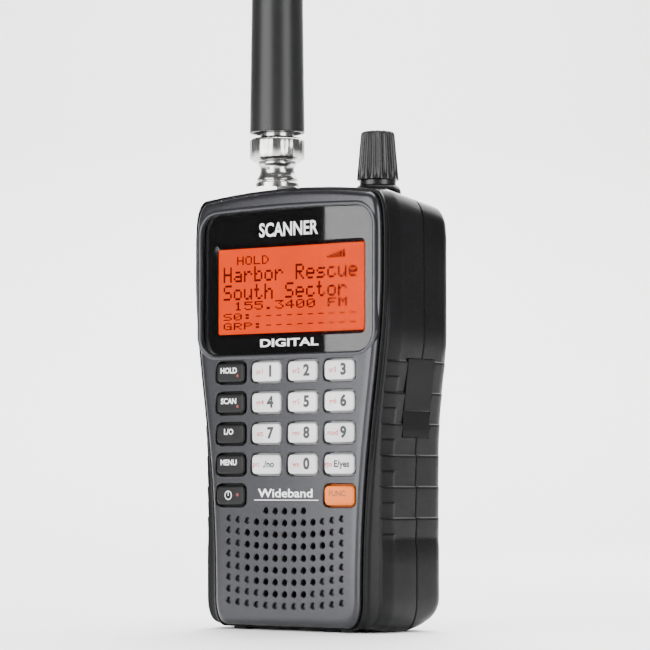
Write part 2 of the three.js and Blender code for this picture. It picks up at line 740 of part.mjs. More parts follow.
const looks = {
  panel: () => finish(0x6b6d72, 0.42, 0.5),
  shell: () => finish(0x1c1c1e, 0.62),
  lens: () => finish(0x101012, 0.06),
  glass: () => finish(0xd9632e, 0.3),
  light: () => finish(0xf2ece0, 0.5),
  lightKey: () => finish(0xd6d5d4, 0.5),
  darkKey: () => finish(0x3a3b3e, 0.5),
  orangeKey: () => finish(0xe09048, 0.5),
  rubber: () => finish(0x202022, 0.85),
  chrome: () => finish(0xc9ccd0, 0.18, 1),
  steel: () => finish(0x8d9094, 0.35, 1),
  board: () => finish(0x1f5a38, 0.5),
  paper: () => finish(0x2a2826, 0.9),
  cloth: () => finish(0x0f0f10, 0.95),
  ferrite: () => finish(0x3b3b3d, 0.6),
  cellWrap: () => finish(0x2f4a7a, 0.4),
  innerPlastic: () => finish(0xb9b6ae, 0.6),
};

// ---- assembly ----

function mesh(name, body, look) {
  const { vertProperties, triVerts } = body.getMesh();
  const geometry = new THREE.BufferGeometry();
  geometry.setAttribute("position", new THREE.BufferAttribute(vertProperties, 3));
  geometry.setIndex(new THREE.BufferAttribute(triVerts, 1));
  geometry.computeVertexNormals();
  const made = new THREE.Mesh(geometry, looks[look]());
  made.name = name;
  return made;
}

function at(group, x, y, z) {
  group.position.set(x, y, z);
  return group;
}

function groupOf(...pieces) {
  const group = new THREE.Group();
  group.add(...pieces);
  return group;
}

const keypad = new THREE.Group();
const keyNames = [
  ["hold", "1", "2", "3"],
  ["scan", "4", "5", "6"],
  ["lockout", "7", "8", "9"],
  ["menu", "dot", "0", "enter"],
  ["power", null, null, "function"],
];
keyNames.forEach((names, row) =>
  names.forEach((name, column) => {
    if (name === null) return;
    const look = name === "function" ? "orangeKey" : column === 0 ? "darkKey" : "lightKey";
    keypad.add(at(mesh("key_" + name, keyBody(), look), keyColumn(column), 0, keyRow(row)));
  }),
);

const cells = new THREE.Group();
[-1, 0, 1].forEach((i) =>
  cells.add(at(mesh("cell_" + (i + 2), cellBody(), "cellWrap"), i * (cell.diameter + cell.side), cellY, cellFoot)));

const screws = new THREE.Group();
screwRows.forEach((z, row) =>
  [-bossX, bossX].forEach((x, column) =>
    screws.add(at(mesh("case_screw_" + (2 * row + column + 1), caseScrew(), "steel"), x, backFace - 0.2, z))));

const aerial = groupOf(
  mesh("aerial_socket", aerialSocket(), "chrome"),
  mesh("aerial_nut", aerialNut(), "chrome"),
  mesh("aerial_ring", aerialRing(), "chrome"),
  mesh("aerial_plug", aerialPlug(), "chrome"),
  mesh("aerial_whip", aerialWhip(), "rubber"),
);

const dialGroup = groupOf(
  mesh("dial_collar", dialCollar(), "shell"),
  mesh("dial_knob", dialKnob(), "rubber"),
  mesh("dial_shaft", dialShaft(), "steel"),
  mesh("encoder_rotor", encoderRotor(), "steel"),
  mesh("encoder_body", encoderBody(), "steel"),
);

const clipGroup = groupOf(
  mesh("clip_bracket", clipBracket(), "shell"),
  mesh("clip_lever", clipLever(), "shell"),
  mesh("clip_pin", clipPin(), "steel"),
  at(mesh("clip_screw", clipScrew(), "steel"), 0, clip.plate - 0.7 + GAP, clip.screwZ),
);

const scanner = groupOf(
  mesh("front_case", frontCase(), "shell"),
  mesh("rear_case", rearCase(), "shell"),
  mesh("battery_door", batteryDoor(), "shell"),
  mesh("front_panel", frontPanel(), "panel"),
  mesh("display_lens", lensSlab(0, frontFace + lens.sink, frontFace + lens.sink + lens.thick), "lens"),
  mesh("display_glass", lcdPlate(lcd.margin, lcd.front, lcd.front + lcd.glass), "glass"),
  mesh("display_light", lcdPlate(lcd.margin, lcd.lightFront, lcd.lightFront + lcd.light), "light"),
  mesh("display_frame", lcdFrame(), "innerPlastic"),
  mesh("keypad_mat", keypadMat(), "rubber"),
  mesh("main_board", mainBoard(), "board"),
  mesh("shield_can", shieldCan(), "steel"),
  mesh("speaker_cloth", speakerCloth(), "cloth"),
  mesh("speaker_frame", speakerFrame(), "steel"),
  mesh("speaker_cone", speakerCone(), "paper"),
  mesh("speaker_magnet", speakerMagnet(), "ferrite"),
  mesh("contact_lower", contactPlate(bayFloor + GAP, 0.5, 1.2), "steel"),
  mesh("contact_upper", contactPlate(bayRoof - GAP - 0.5, 0.5, -0.9), "steel"),
  mesh("port_flap", portFlap(), "rubber"),
  mesh("usb_socket", usbSocket(), "steel"),
  at(mesh("phone_socket", phoneSocket(), "innerPlastic"), 0, topY, deck),
  keypad,
  cells,
  screws,
  at(aerial, aerialX, topY, deck),
  at(dialGroup, dialX, topY, deck),
  at(clipGroup, 0, backFace, clipZ),
);

const extent = new THREE.Box3().setFromObject(scanner);
const middle = extent.getCenter(new THREE.Vector3());
scanner.position.set(-middle.x, -middle.y, -extent.min.z);

export default scanner;
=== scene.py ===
from math import atan2, cos, hypot, pi, radians, sin, sqrt

import bmesh
import bpy
import numpy as np
from mathutils import Matrix, Vector


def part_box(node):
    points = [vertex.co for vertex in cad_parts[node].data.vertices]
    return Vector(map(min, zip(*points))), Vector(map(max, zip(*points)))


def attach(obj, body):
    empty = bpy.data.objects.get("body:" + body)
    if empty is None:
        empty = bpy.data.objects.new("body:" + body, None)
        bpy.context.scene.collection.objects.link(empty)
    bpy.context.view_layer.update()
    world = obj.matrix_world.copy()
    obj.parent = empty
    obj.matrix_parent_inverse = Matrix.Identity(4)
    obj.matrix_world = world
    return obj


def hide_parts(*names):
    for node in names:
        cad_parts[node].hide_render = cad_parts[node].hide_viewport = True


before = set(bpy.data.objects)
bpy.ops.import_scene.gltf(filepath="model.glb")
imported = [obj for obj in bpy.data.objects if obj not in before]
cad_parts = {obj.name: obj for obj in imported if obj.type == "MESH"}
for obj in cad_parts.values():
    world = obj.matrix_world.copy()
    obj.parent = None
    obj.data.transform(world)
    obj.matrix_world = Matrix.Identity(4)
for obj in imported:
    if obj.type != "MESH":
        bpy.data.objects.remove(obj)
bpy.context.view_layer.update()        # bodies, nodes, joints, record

# A handheld radio scanner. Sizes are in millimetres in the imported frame: X to the right seen from
# the front, the front facing -Y, Z up. Every mesh is scaled to metres as it is made.
MM = 0.001
WELD = 0.002 * MM


def cad(node):
    """A CAD node's lowest and highest corner in millimetres."""
    low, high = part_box(node)
    return low / MM, high / MM


def middle(node):
    """The middle of a CAD node's box in millimetres."""
    low, high = cad(node)
    return [(a + b) / 2 for a, b in zip(low, high)]


# ---- sizes: those of the CAD come from the frame ----

GAP = 0.3  # between two CAD pieces that touch
PANEL_LOW, PANEL_HIGH = cad("front_panel")
LENS_LOW, LENS_HIGH = cad("display_lens")
GLASS_LOW, GLASS_HIGH = cad("display_glass")
DOOR_HIGH = cad("battery_door")[1]
FLAP_LOW, FLAP_HIGH = cad("port_flap")

FRONT = PANEL_LOW.y
PANEL_BACK = PANEL_HIGH.y
PARTING_FRONT = cad("front_case")[1].y
PARTING_REAR = PARTING_FRONT + GAP
BACK = cad("rear_case")[1].y
HEIGHT = PANEL_HIGH.z
HEAD = cad("front_case")[1].x  # half the case's width at its head, and at its grip
GRIP = HEAD - 2.6
PANEL_HEAD = PANEL_HIGH.x  # the same of the panel
PANEL_FOOT = GRIP - 6.2
PANEL_BOTTOM = PANEL_LOW.z
WAIST_LOW = cad("key_menu")[0].z + 2.9  # the case swells between these two heights
WAIST_HIGH = LENS_LOW.z + 5.7
SIDE_BOTTOM = 9.0  # the sides run between these two, with rounded corners beyond
SIDE_TOP = HEIGHT - 13.0

CASE_CORNER = 5.5
CASE_CROWN = 1.2
BACK_ROUND = 5.0
HEEL = 8.5
HEEL_RUN = 15.4
FOOT_LIFT = 1.2
TOP_FALL = 3.0
FALL_START = FRONT + 7
RIB_TOP = FLAP_HIGH.z - 0.4
RIB_PITCH = 8.3
RIB_DEPTH = 0.5
DOOR_PLATE = 1.7

SCREEN_MARGIN = 1.6  # how far the display glass runs on behind the window's edge
SCREEN_RAISE = 0.3  # how much more it does so above and below
SCREEN_HALF = GLASS_HIGH.x - SCREEN_MARGIN
SCREEN_BOTTOM = GLASS_LOW.z + SCREEN_MARGIN + SCREEN_RAISE
SCREEN_TOP = GLASS_HIGH.z - SCREEN_MARGIN - SCREEN_RAISE
LENS_HALF = LENS_HIGH.x
LENS_TOP = LENS_HIGH.z - 0.9
LENS_FRONT = FRONT + 0.8
LENS_CORNER = 5.5

DIAL_X, TOP_Y, _ = middle("dial_knob")
AERIAL_X = middle("aerial_whip")[0]
DECK = cad("dial_collar")[0].z - GAP  # the seats of aerial and dial
BEYOND = 20  # how far a cutter runs on into the open


# ---- mesh helpers ----

def added(name, data):
    """A new object in the scene that holds a mesh, a curve, a light or a camera."""
    piece = bpy.data.objects.new(name, data)
    bpy.context.scene.collection.objects.link(piece)
    return piece


def build(name, verts, faces, sharp=35):
    """An object from millimetre points, shaded smooth except over edges sharper than an angle."""
    mesh = bpy.data.meshes.new(name)
    mesh.from_pydata([Vector(v) * MM for v in verts], [], faces)
    mesh.validate()
    piece = added(name, mesh)
    smooth(piece, sharp)
    return piece


def smooth(piece, sharp=35):
    """Smooth shading except over edges sharper than an angle."""
    mesh = piece.data
    mesh.polygons.foreach_set("use_smooth", [True] * len(mesh.polygons))
    mesh.set_sharp_from_angle(angle=radians(sharp))
    mesh.update()


def apply_modifiers(piece):
    """Makes a piece's modifiers part of its mesh."""
    view = bpy.context.view_layer
    view.update()
    mesh = bpy.data.meshes.new_from_object(piece.evaluated_get(view.depsgraph))
    piece.modifiers.clear()
    piece.data = mesh


def boolean(piece, cutters, operation="DIFFERENCE"):
    """Cuts a piece by others, or joins or intersects it with them, and uses them up."""
    for cutter in cutters:
        step = piece.modifiers.new("cut", "BOOLEAN")
        step.object = cutter
        step.operation = operation
        step.solver = "EXACT"
    apply_modifiers(piece)
    for cutter in cutters:
        bpy.data.objects.remove(cutter)
    return piece


def soften(piece, width, angle=50, segments=2):
    """Rounds every edge that is sharper than an angle, as a mould does."""
    step = piece.modifiers.new("soften", "BEVEL")
    step.width = width * MM
    step.segments = segments
    step.limit_method = "ANGLE"
    step.angle_limit = radians(angle)
    step.use_clamp_overlap = True
    apply_modifiers(piece)
    return piece


def settle(piece, sharp=40):
    """Smooth shading in which the large flat faces stay flat and only the roundings turn."""
    smooth(piece, sharp)
    step = piece.modifiers.new("settle", "WEIGHTED_NORMAL")
    step.keep_sharp = True
    step.weight = 80
    apply_modifiers(piece)


def loft(name, rings, sharp=35, closed=False):
    """A skin through rings of equally many points, capped at both ends or closed on itself."""
    count = len(rings[0])
    verts = [point for ring in rings for point in ring]
    faces = []
    steps = len(rings) if closed else len(rings) - 1
    for ring in range(steps):
        low = ring * count
        high = ((ring + 1) % len(rings)) * count
        for i in range(count):
            j = (i + 1) % count
            faces.append((low + i, high + i, high + j, low + j))
    if not closed:
        faces.append(tuple(range(count)))
        faces.append(tuple(reversed(range(len(verts) - count, len(verts)))))
    return build(name, verts, faces, sharp)


def facing(outline, y):
    """An outline of (x, z) pairs set at a depth."""
    return [(x, y, z) for x, z in outline]


def prism(name, outline, front, back):
    """An outline drawn out from one depth to another."""
    return loft(name, [facing(outline, front), facing(outline, back)])


def box(name, low, high):
    """A box between its lowest and highest corner."""
    (x0, y0, z0), (x1, y1, z1) = low, high
    return prism(name, [(x0, z0), (x1, z0), (x1, z1), (x0, z1)], y0, y1)


def arc(cx, cz, radius, start, end, steps):
    """Points of an arc about a middle, from one angle in degrees to another."""
    turns = [radians(start + (end - start) * i / steps) for i in range(steps + 1)]
    return [(cx + radius * cos(t), cz + radius * sin(t)) for t in turns]


def rounded(x0, x1, z0, z1, radius, steps=6):
    """A rectangle with rounded corners."""
    return (
        arc(x1 - radius, z0 + radius, radius, -90, 0, steps)
        + arc(x1 - radius, z1 - radius, radius, 0, 90, steps)
        + arc(x0 + radius, z1 - radius, radius, 90, 180, steps)
        + arc(x0 + radius, z0 + radius, radius, 180, 270, steps)
    )


def face_out(piece):
    """Welds the points of a mesh that fall together, and turns its faces outwards."""
    mesh = bmesh.new()
    mesh.from_mesh(piece.data)
    bmesh.ops.remove_doubles(mesh, verts=mesh.verts, dist=WELD)
    bmesh.ops.recalc_face_normals(mesh, faces=mesh.faces)
    mesh.to_mesh(piece.data)
    mesh.free()


LOBE_DEPTH = 0.1


def lathe(name, profile, x, y, z=0, sides=64, axis="z", sharp=35, closed=False, lobes=0):
    """A profile of (radius, height) pairs turned about an axis through a point. A closed profile makes
    a ring; lobes ripple the widest part, as a grip."""
    widest = max(radius for radius, _ in profile)
    rings = []
    for radius, height in profile:
        ripple = LOBE_DEPTH if lobes and radius > widest - 0.3 else 0
        ring = []
        for i in range(sides):
            turn = 2 * pi * i / sides
            reach = radius - ripple * (0.5 - 0.5 * cos(lobes * turn))
            a = reach * cos(turn)
            b = reach * sin(turn)
            spot = {"z": (a, b, height), "y": (a, height, b), "x": (height, a, b)}[axis]
            ring.append((x + spot[0], y + spot[1], z + spot[2]))
        rings.append(ring if axis == "z" else ring[::-1])
    piece = loft(name, rings, sharp, closed)
    face_out(piece)
    smooth(piece, sharp)
    return piece


def rod(name, x, y, z, radius, low, high, axis="z", sides=32):
    """A cylinder along an axis through a point, from one distance to another."""
    return lathe(name, [(0, low), (radius, low), (radius, high), (0, high)], x, y, z, sides, axis)


def joined(name, pieces):
    """Several separate meshes as one object."""
    mesh = bmesh.new()
    materials = []
    for piece in pieces:
        offset = len(materials)
        start = len(mesh.faces)
        mesh.from_mesh(piece.data)
        mesh.faces.ensure_lookup_table()
        for face in mesh.faces[start:]:
            face.material_index += offset
        materials.extend(piece.data.materials)
        bpy.data.objects.remove(piece)
    data = bpy.data.meshes.new(name)
    mesh.to_mesh(data)
    mesh.free()
    for material in materials:
        data.materials.append(material)
    return added(name, data)


INK = 0.04


def lettering(name, text, size, x, y, z, width=1.0, weight=0.0):
    """Printed text on a face that looks to the front, its middle at a point."""
    curve = bpy.data.curves.new(name, "FONT")
    curve.body = text
    curve.size = size
    curve.extrude = INK / 2
    curve.align_x = "CENTER"
    curve.align_y = "CENTER"
    curve.offset = weight
    curve.resolution_u = 4
    holder = added(name, curve)
    bpy.context.view_layer.update()
    mesh = bpy.data.meshes.new_from_object(holder.evaluated_get(bpy.context.view_layer.depsgraph))
    bpy.data.objects.remove(holder)
    mesh.transform(Matrix.Diagonal((width, 1, 1, 1)))
    mesh.transform(Matrix.Rotation(radians(90), 4, "X"))
    mesh.transform(Matrix.Translation((x, y, z)))
    mesh.transform(Matrix.Scale(MM, 4))
    return added(name, mesh)


def stepped(name, shape, steps, closed=False):
    """A skin of one shape that grows or shrinks on its way back: steps of growth and depth."""
    return loft(name, [facing(shape(grow), y) for grow, y in steps], closed=closed)


def paint(piece, material):
    """Makes a material the only one of a piece."""
    piece.data.materials.clear()
    piece.data.materials.append(material)
    return piece


def place(piece, material, body="radio", replaces=()):
    """Gives a finished piece its material and the body that it moves with."""
    if material is not None:
        paint(piece, material)
    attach(piece, body)
    if replaces:
        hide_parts(*replaces)
    return piece


def moulded(piece, material, node, body="radio", edge=0.12, segments=2):
    """Rounds a moulded piece's edges, and puts it in its CAD node's place."""
    soften(piece, edge, segments=segments)
    settle(piece)
    place(piece, material, body, [node])


# ---- materials ----

def new_node(tree, kind, **values):
    """A new shader node with some inputs set."""
    made = tree.nodes.new("ShaderNode" + kind)
    for name, value in values.items():
        made.inputs[name].default_value = value
    return made


class Finish:
    """A Principled material whose colour, roughness and relief come from noise of a real size."""

    def __init__(self, name, color, roughness, metallic=0.0, coat=0.0, specular=0.5):
        self.material = bpy.data.materials.new(name)
        self.material.use_nodes = True
        self.tree = self.material.node_tree
        self.link = self.tree.links.new
        self.shader = self.tree.nodes["Principled BSDF"]
        self.where = new_node(self.tree, "TexCoord").outputs["Object"]
        self.color = color
        self.roughness = roughness
        for name, value in (
            ("Base Color", (*color, 1)), ("Roughness", roughness), ("Metallic", metallic),
            ("Coat Weight", coat), ("Coat Roughness", 0.12), ("Specular IOR Level", specular),
        ):
            self.shader.inputs[name].default_value = value

    def noise(self, size_mm, detail=3.0, stretch=None):
        """Noise with features of about a size in millimetres, drawn out along an axis if asked."""
        noise = new_node(self.tree, "TexNoise", Scale=1 / (size_mm * MM), Detail=detail)
        where = self.where
        if stretch:
            mapping = new_node(self.tree, "Mapping", Scale=stretch)
            self.link(where, mapping.inputs["Vector"])
            where = mapping.outputs["Vector"]
        self.link(where, noise.inputs["Vector"])
        return noise.outputs["Fac"]

    def vary_color(self, fac, dark, light, low=0.35, high=0.65):
        """Colour that runs between two multiples of the base."""
        ramp = new_node(self.tree, "ValToRGB")
        for stop, share, factor in zip(ramp.color_ramp.elements, (low, high), (dark, light)):
            stop.position = share
            stop.color = (*[min(c * factor, 1) for c in self.color], 1)
        self.link(fac, ramp.inputs["Fac"])
        self.link(ramp.outputs["Color"], self.shader.inputs["Base Color"])

    def vary_roughness(self, fac, spread):
        """Roughness that runs as far below the base as above it."""
        span = new_node(self.tree, "MapRange")
        span.inputs["To Min"].default_value = max(self.roughness - spread, 0.02)
        span.inputs["To Max"].default_value = min(self.roughness + spread, 1)
        self.link(fac, span.inputs["Value"])
        self.link(span.outputs["Result"], self.shader.inputs["Roughness"])

    def relief(self, fac, height_mm, strength=0.6):
        """Bumps of a height in millimetres."""
        bump = new_node(self.tree, "Bump", Strength=strength, Distance=height_mm * MM)
        self.link(fac, bump.inputs["Height"])
        self.link(bump.outputs["Normal"], self.shader.inputs["Normal"])


def grained(name, color, roughness, grain=0.25, depth=0.02, **more):
    """Moulded plastic: a fine spark-eroded grain, slightly uneven gloss and tone."""
    finish = Finish(name, color, roughness, **more)
    fine = finish.noise(grain, 2)
    broad = finish.noise(18, 3)
    finish.vary_color(broad, 0.85, 1.2)
    finish.vary_roughness(fine, 0.08)
    finish.relief(fine, depth)
    return finish.material


SHELL = grained("shell", (0.0055, 0.0055, 0.006), 0.3, grain=0.2, depth=0.008, specular=0.12)
RUBBER = grained("rubber", (0.011, 0.011, 0.0115), 0.34, grain=0.3, depth=0.008, specular=0.3)
KNOB = grained("knob", (0.01, 0.01, 0.0105), 0.28, grain=0.25, depth=0.006, specular=0.4)
FLAP_RUBBER = grained("flap_rubber", (0.005, 0.005, 0.0055), 0.36, grain=0.25, depth=0.008, specular=0.1)
KEY_LIGHT = grained("key_light", (0.62, 0.615, 0.62), 0.42, grain=0.3, depth=0.006)
KEY_DARK = grained("key_dark", (0.006, 0.006, 0.0065), 0.42, grain=0.3, depth=0.006, specular=0.2)
KEY_ORANGE = grained("key_orange", (0.72, 0.15, 0.012), 0.45, grain=0.3, depth=0.006, specular=0.3)
PRINT_WHITE = grained("print_white", (0.8, 0.8, 0.8), 0.5, grain=0.2, depth=0.002)
PRINT_DARK = grained("print_dark", (0.02, 0.02, 0.022), 0.5, grain=0.2, depth=0.002)
PRINT_RED = grained("print_red", (0.5, 0.06, 0.07), 0.5, grain=0.2, depth=0.002)
PRINT_BROWN = grained("print_brown", (0.18, 0.06, 0.02), 0.5, grain=0.2, depth=0.002)
INNER_PLASTIC = grained("inner_plastic", (0.42, 0.41, 0.38), 0.6, grain=0.4, depth=0.01)
FERRITE = grained("ferrite", (0.04, 0.04, 0.042), 0.65, grain=0.5, depth=0.02)
CONE_PAPER = grained("cone_paper", (0.03, 0.028, 0.026), 0.9, grain=0.6, depth=0.05)
BOARD = grained("board", (0.015, 0.1, 0.045), 0.4, grain=0.6, depth=0.01)


def panel_paint():
    """Grey paint with fine bright flakes under a satin coat."""
    finish = Finish("panel_paint", (0.034, 0.0344, 0.038), 0.25, metallic=0.65, coat=0.12)
    flakes = finish.noise(0.16, 1)
    finish.vary_color(flakes, 0.72, 1.5, low=0.3, high=0.72)
    finish.vary_roughness(finish.noise(9, 3), 0.02)
    finish.relief(flakes, 0.006, 0.25)
    return finish.material


def back_print():
    """Black print on the back of the polished window, so it mirrors as glass does."""
    finish = Finish("lens_print", (0.003, 0.003, 0.0033), 0.02)
    finish.vary_color(finish.noise(6, 2), 0.85, 1.15)
    return finish.material


def plated(name, color, roughness):
    """Nickel plate with faint turning marks."""
    finish = Finish(name, color, roughness, metallic=1.0)
    marks = finish.noise(0.8, 3, stretch=(1, 1, 12))
    finish.vary_color(finish.noise(3, 3), 0.85, 1.08)
    finish.vary_roughness(marks, 0.06)
    finish.relief(marks, 0.004, 0.4)
    return finish.material


def sleeve():
    """The printed sleeve of a dry cell, dark blue."""
    finish = Finish("cell_sleeve", (0.03, 0.07, 0.2), 0.3, coat=0.4)
    finish.vary_color(finish.noise(6, 3), 0.75, 1.25)
    finish.relief(finish.noise(1.2, 2), 0.006)
    return finish.material


THREADS = 900  # waves in a metre


def cloth():
    """The black woven cloth over the speaker."""
    finish = Finish("cloth", (0.01, 0.01, 0.0105), 0.95)
    wave = new_node(finish.tree, "TexWave", Scale=THREADS)
    finish.link(finish.where, wave.inputs["Vector"])
    finish.vary_color(finish.noise(0.5, 2), 0.6, 1.6)
    finish.relief(wave.outputs["Fac"], 0.05)
    return finish.material


def clear_lens():
    """A clear acrylic window: it lets the view through and mirrors a little, more at a slant."""
    material = bpy.data.materials.new("clear_lens")
    material.use_nodes = True
    tree = material.node_tree
    link = tree.links.new
    tree.nodes.remove(tree.nodes["Principled BSDF"])
    through = new_node(tree, "BsdfTransparent")
    gloss = new_node(tree, "BsdfGlossy", Roughness=0.02)
    fresnel = new_node(tree, "Fresnel", IOR=1.06)
    smears = new_node(tree, "TexNoise", Scale=120)
    bump = new_node(tree, "Bump", Distance=0.004 * MM, Strength=0.2)
    mix = new_node(tree, "MixShader")
    link(smears.outputs["Fac"], bump.inputs["Height"])
    link(bump.outputs["Normal"], gloss.inputs["Normal"])
    link(fresnel.outputs["Fac"], mix.inputs["Fac"])
    link(through.outputs["BSDF"], mix.inputs[1])
    link(gloss.outputs["BSDF"], mix.inputs[2])
    link(mix.outputs["Shader"], tree.nodes["Material Output"].inputs["Surface"])
    return material


def display_glow():
    """The lit display: orange that glows almost evenly."""
    finish = Finish("display_glow", (0.35, 0.018, 0.001), 0.5, specular=0.02)
    finish.vary_color(finish.noise(14, 2), 0.9, 1.08)
    finish.shader.inputs["Emission Color"].default_value = (1.0, 0.085, 0.003, 1)
    finish.shader.inputs["Emission Strength"].default_value = 0.46
    return finish.material


PANEL_PAINT = panel_paint()
NICKEL = plated("nickel", (0.6, 0.595, 0.58), 0.22)
STEEL = plated("steel", (0.42, 0.42, 0.43), 0.32)
BLACK_STEEL = plated("black_steel", (0.09, 0.09, 0.095), 0.38)
CELL_SLEEVE = sleeve()
CLOTH = cloth()
CLEAR_LENS = clear_lens()
DISPLAY_GLOW = display_glow()
DISPLAY_INK = grained("display_ink", (0.05, 0.003, 0.001), 0.6, grain=0.2, depth=0.002, specular=0.02)
LENS_PRINT = back_print()
LIGHT_GUIDE = grained("light_guide", (0.8, 0.78, 0.72), 0.3, grain=0.8, depth=0.004)


# ---- outlines seen from the front ----

def quadratic(a, b, c, steps):
    """Points of a quadratic curve after its first."""
    out = []
    for i in range(1, steps + 1):
        t = i / steps
        out.append(tuple((1 - t) ** 2 * p + 2 * t * (1 - t) * q + t * t * r for p, q, r in zip(a, b, c)))
    return out


def waist_curve(foot, head, low, high):
    """Half-width against height: straight at the grip, then swelling to the head."""
    swell = high - low
    t = np.linspace(0, 1, 60)
    weights = ((1 - t) ** 3, 3 * t * (1 - t) ** 2, 3 * t * t * (1 - t), t**3)
    heights = sum(w * z for w, z in zip(weights, (low, low + 0.5 * swell, high - 0.3 * swell, high)))
    widths = sum(w * x for w, x in zip(weights, (foot, foot, head, head)))
    return lambda z: float(np.interp(z, heights, widths))


def side_heights():
    """Heights of the points up a side: close pairs at every rib's ledge, even steps between."""
    small = RIB_PITCH / 2
    ledges = [RIB_TOP - small * i for i in range(12)]
    heights = set(np.linspace(SIDE_BOTTOM, SIDE_TOP, 24).round(2))
    heights = {z for z in heights if all(abs(z - ledge) > 0.5 for ledge in ledges)}
    for ledge in ledges:
        heights |= {round(ledge + step, 3) for step in (0.04, -0.06, -0.2, -0.45, -0.8, -small / 2)}
    return sorted(heights)


SIDE_HEIGHTS = side_heights()


def uncut(z):
    """Nothing is taken off the side at any height."""
    return 0.0


def outline(half, bottom, top, heel, shoulder, crown, cut=uncut):
    """An outline of (x, z) pairs. half gives the half-width at a height; cut is taken off it."""
    foot = half(SIDE_BOTTOM)
    head = half(SIDE_TOP)
    right = [(foot * i / 5 * 0.8, bottom) for i in range(5)]
    right.append((foot - heel, bottom))
    right += quadratic((foot - heel, bottom), (foot, bottom), (foot, SIDE_BOTTOM), 8)[:-1]
    right += [(half(z) - cut(z), z) for z in SIDE_HEIGHTS]
    edge = top - crown
    right += quadratic((head, SIDE_TOP), (head, edge), (head - shoulder, edge), 8)[1:]
    right += quadratic((head - shoulder, edge), ((head - shoulder) / 2, top), (0, top), 12)
    left = [(-x, z) for x, z in reversed(right[1:-1])]
    return right + left


CASE_HALF = waist_curve(GRIP, HEAD, WAIST_LOW, WAIST_HIGH)
PANEL_HALF = waist_curve(PANEL_FOOT, PANEL_HEAD, PANEL_BOTTOM + 7, LENS_LOW.z + 22)


def panel_outline(inset, top_inset=None):
    """The panel's outline, moved in by an inset and at its top by another."""
    top_inset = 1.4 * inset if top_inset is None else top_inset
    foot = PANEL_BOTTOM + (inset if inset > 0 else 0.3 * inset)
    return outline(lambda z: PANEL_HALF(z) - inset, foot, HEIGHT - 0.6 - top_inset, 4, 4.2, 1.8)


def top_at(y):
    """The case's top falls towards the back."""
    run = (BACK - BACK_ROUND) - FALL_START
    return HEIGHT - 0.1 - TOP_FALL * min(max((y - FALL_START) / run, 0), 1)


def bottom_at(y):
    """The foot is a little raised under the panel, flat behind it, and curves up into the heel."""
    lift = FOOT_LIFT * min(max(1 - (y - FRONT - 3) / 9, 0), 1)
    past = min(max((y - (BACK - HEEL_RUN)) / HEEL_RUN, 0), 1)
    return lift + HEEL * (1 - sqrt(1 - past * past))


def case_outline(inset=0.0, y=FRONT, cut=uncut):
    """The case's outline at a depth, moved in by an inset."""
    corner = CASE_CORNER - min(inset, 2)
    return outline(lambda z: CASE_HALF(z) - inset, bottom_at(y) + inset, top_at(y) - inset,
                   corner, corner, CASE_CROWN, cut)


def between(a, b, share):
    """An outline part of the way from one to another."""
    return [(p[0] + (q[0] - p[0]) * share, p[1] + (q[1] - p[1]) * share) for p, q in zip(a, b)]


# ---- the case ----

def shingle(pitch, depth):
    """How far in the side lies at a height: each rib stands out under its rounded upper edge, then
    tapers in as it goes down to the next one."""
    def cut(z):
        below = RIB_TOP - z
        if below < -1.2 or z < RIB_TOP - RIB_PITCH * 6 + 2:
            return 0.0
        if below < 0:
            return depth * (1 + below / 1.2)
        step = below % pitch
        taper = depth * step / pitch
        rounding = depth * (1 - min(step / 0.6, 1)) ** 2 if step < pitch - 0.01 else 0
        return min(taper + rounding, depth)
    return cut


ribs = shingle(RIB_PITCH, RIB_DEPTH)
half_ribs = shingle(RIB_PITCH / 2, 0.14)


def fine_ribs(z):
    """The ribs by the front: half as deep, with a slight one between each two."""
    return 0.5 * ribs(z) + half_ribs(z)


def mixed_ribs(share):
    """Ribs part of the way from those by the front to the deep ones of the side."""
    return lambda z: (1 - share) * fine_ribs(z) + share * ribs(z)


def front_skin():
    """The front half's outside: a rim round the panel, a groove, a ridge and the ribbed side."""

    def rim(grow, y):
        return facing(panel_outline(-grow, -0.5 - 0.1 * grow), FRONT + y)

    def flank(share, dip, y):
        outer = case_outline(dip, FRONT + y, fine_ribs)
        return facing(between(panel_outline(dip - 1.3, -0.6), outer, share), FRONT + y)

    rings = [
        rim(0.4, 2.1), rim(0.55, 1.75), rim(0.8, 1.6), rim(1.1, 1.65), rim(1.35, 1.9),
        flank(0.1, 0.2, 2.4), flank(0.25, 0.3, 2.8), flank(0.5, 0.38, 3.05), flank(0.75, 0.42, 3.1),
        flank(0.82, 0.42, 3.15), flank(0.87, 0.36, 3.5), flank(0.9, 0.28, 4.1), flank(0.93, 0.2, 4.9),
        flank(0.96, 0.12, 5.8), flank(0.985, 0.05, 6.7), flank(0.997, 0.01, 7.4), flank(1, 0, 8),
    ]
    for y, share in ((8.3, 0.5), (8.6, 1), (9.4, 1), (11, 1), (13, 1), (PARTING_FRONT - FRONT - 0.25, 1)):
        rings.append(facing(case_outline(0, FRONT + y, mixed_ribs(share)), FRONT + y))
    rings.append(facing(case_outline(0.2, PARTING_FRONT, ribs), PARTING_FRONT))
    return loft("front_case_look", rings)


def rear_ring(y, extra=0.0):
    """The rear half's ring at a depth: its edges round off at the back."""
    past = max(y - (BACK - BACK_ROUND), 0)
    inset = BACK_ROUND - sqrt(max(BACK_ROUND**2 - past**2, 0))
    share = max(1 - inset / 2, 0)
    plan = outline(
        lambda z: CASE_HALF(z) - inset - extra,
        bottom_at(y) + extra,
        top_at(y) - 0.9 * inset - extra,
        CASE_CORNER,
        CASE_CORNER,
        CASE_CROWN,
        lambda z: ribs(z) * share,
    )
    return facing(plan, y)


ROUND_STEPS = (0, 15, 30, 45, 57, 68, 78, 85, 90)  # degrees round the back's edge


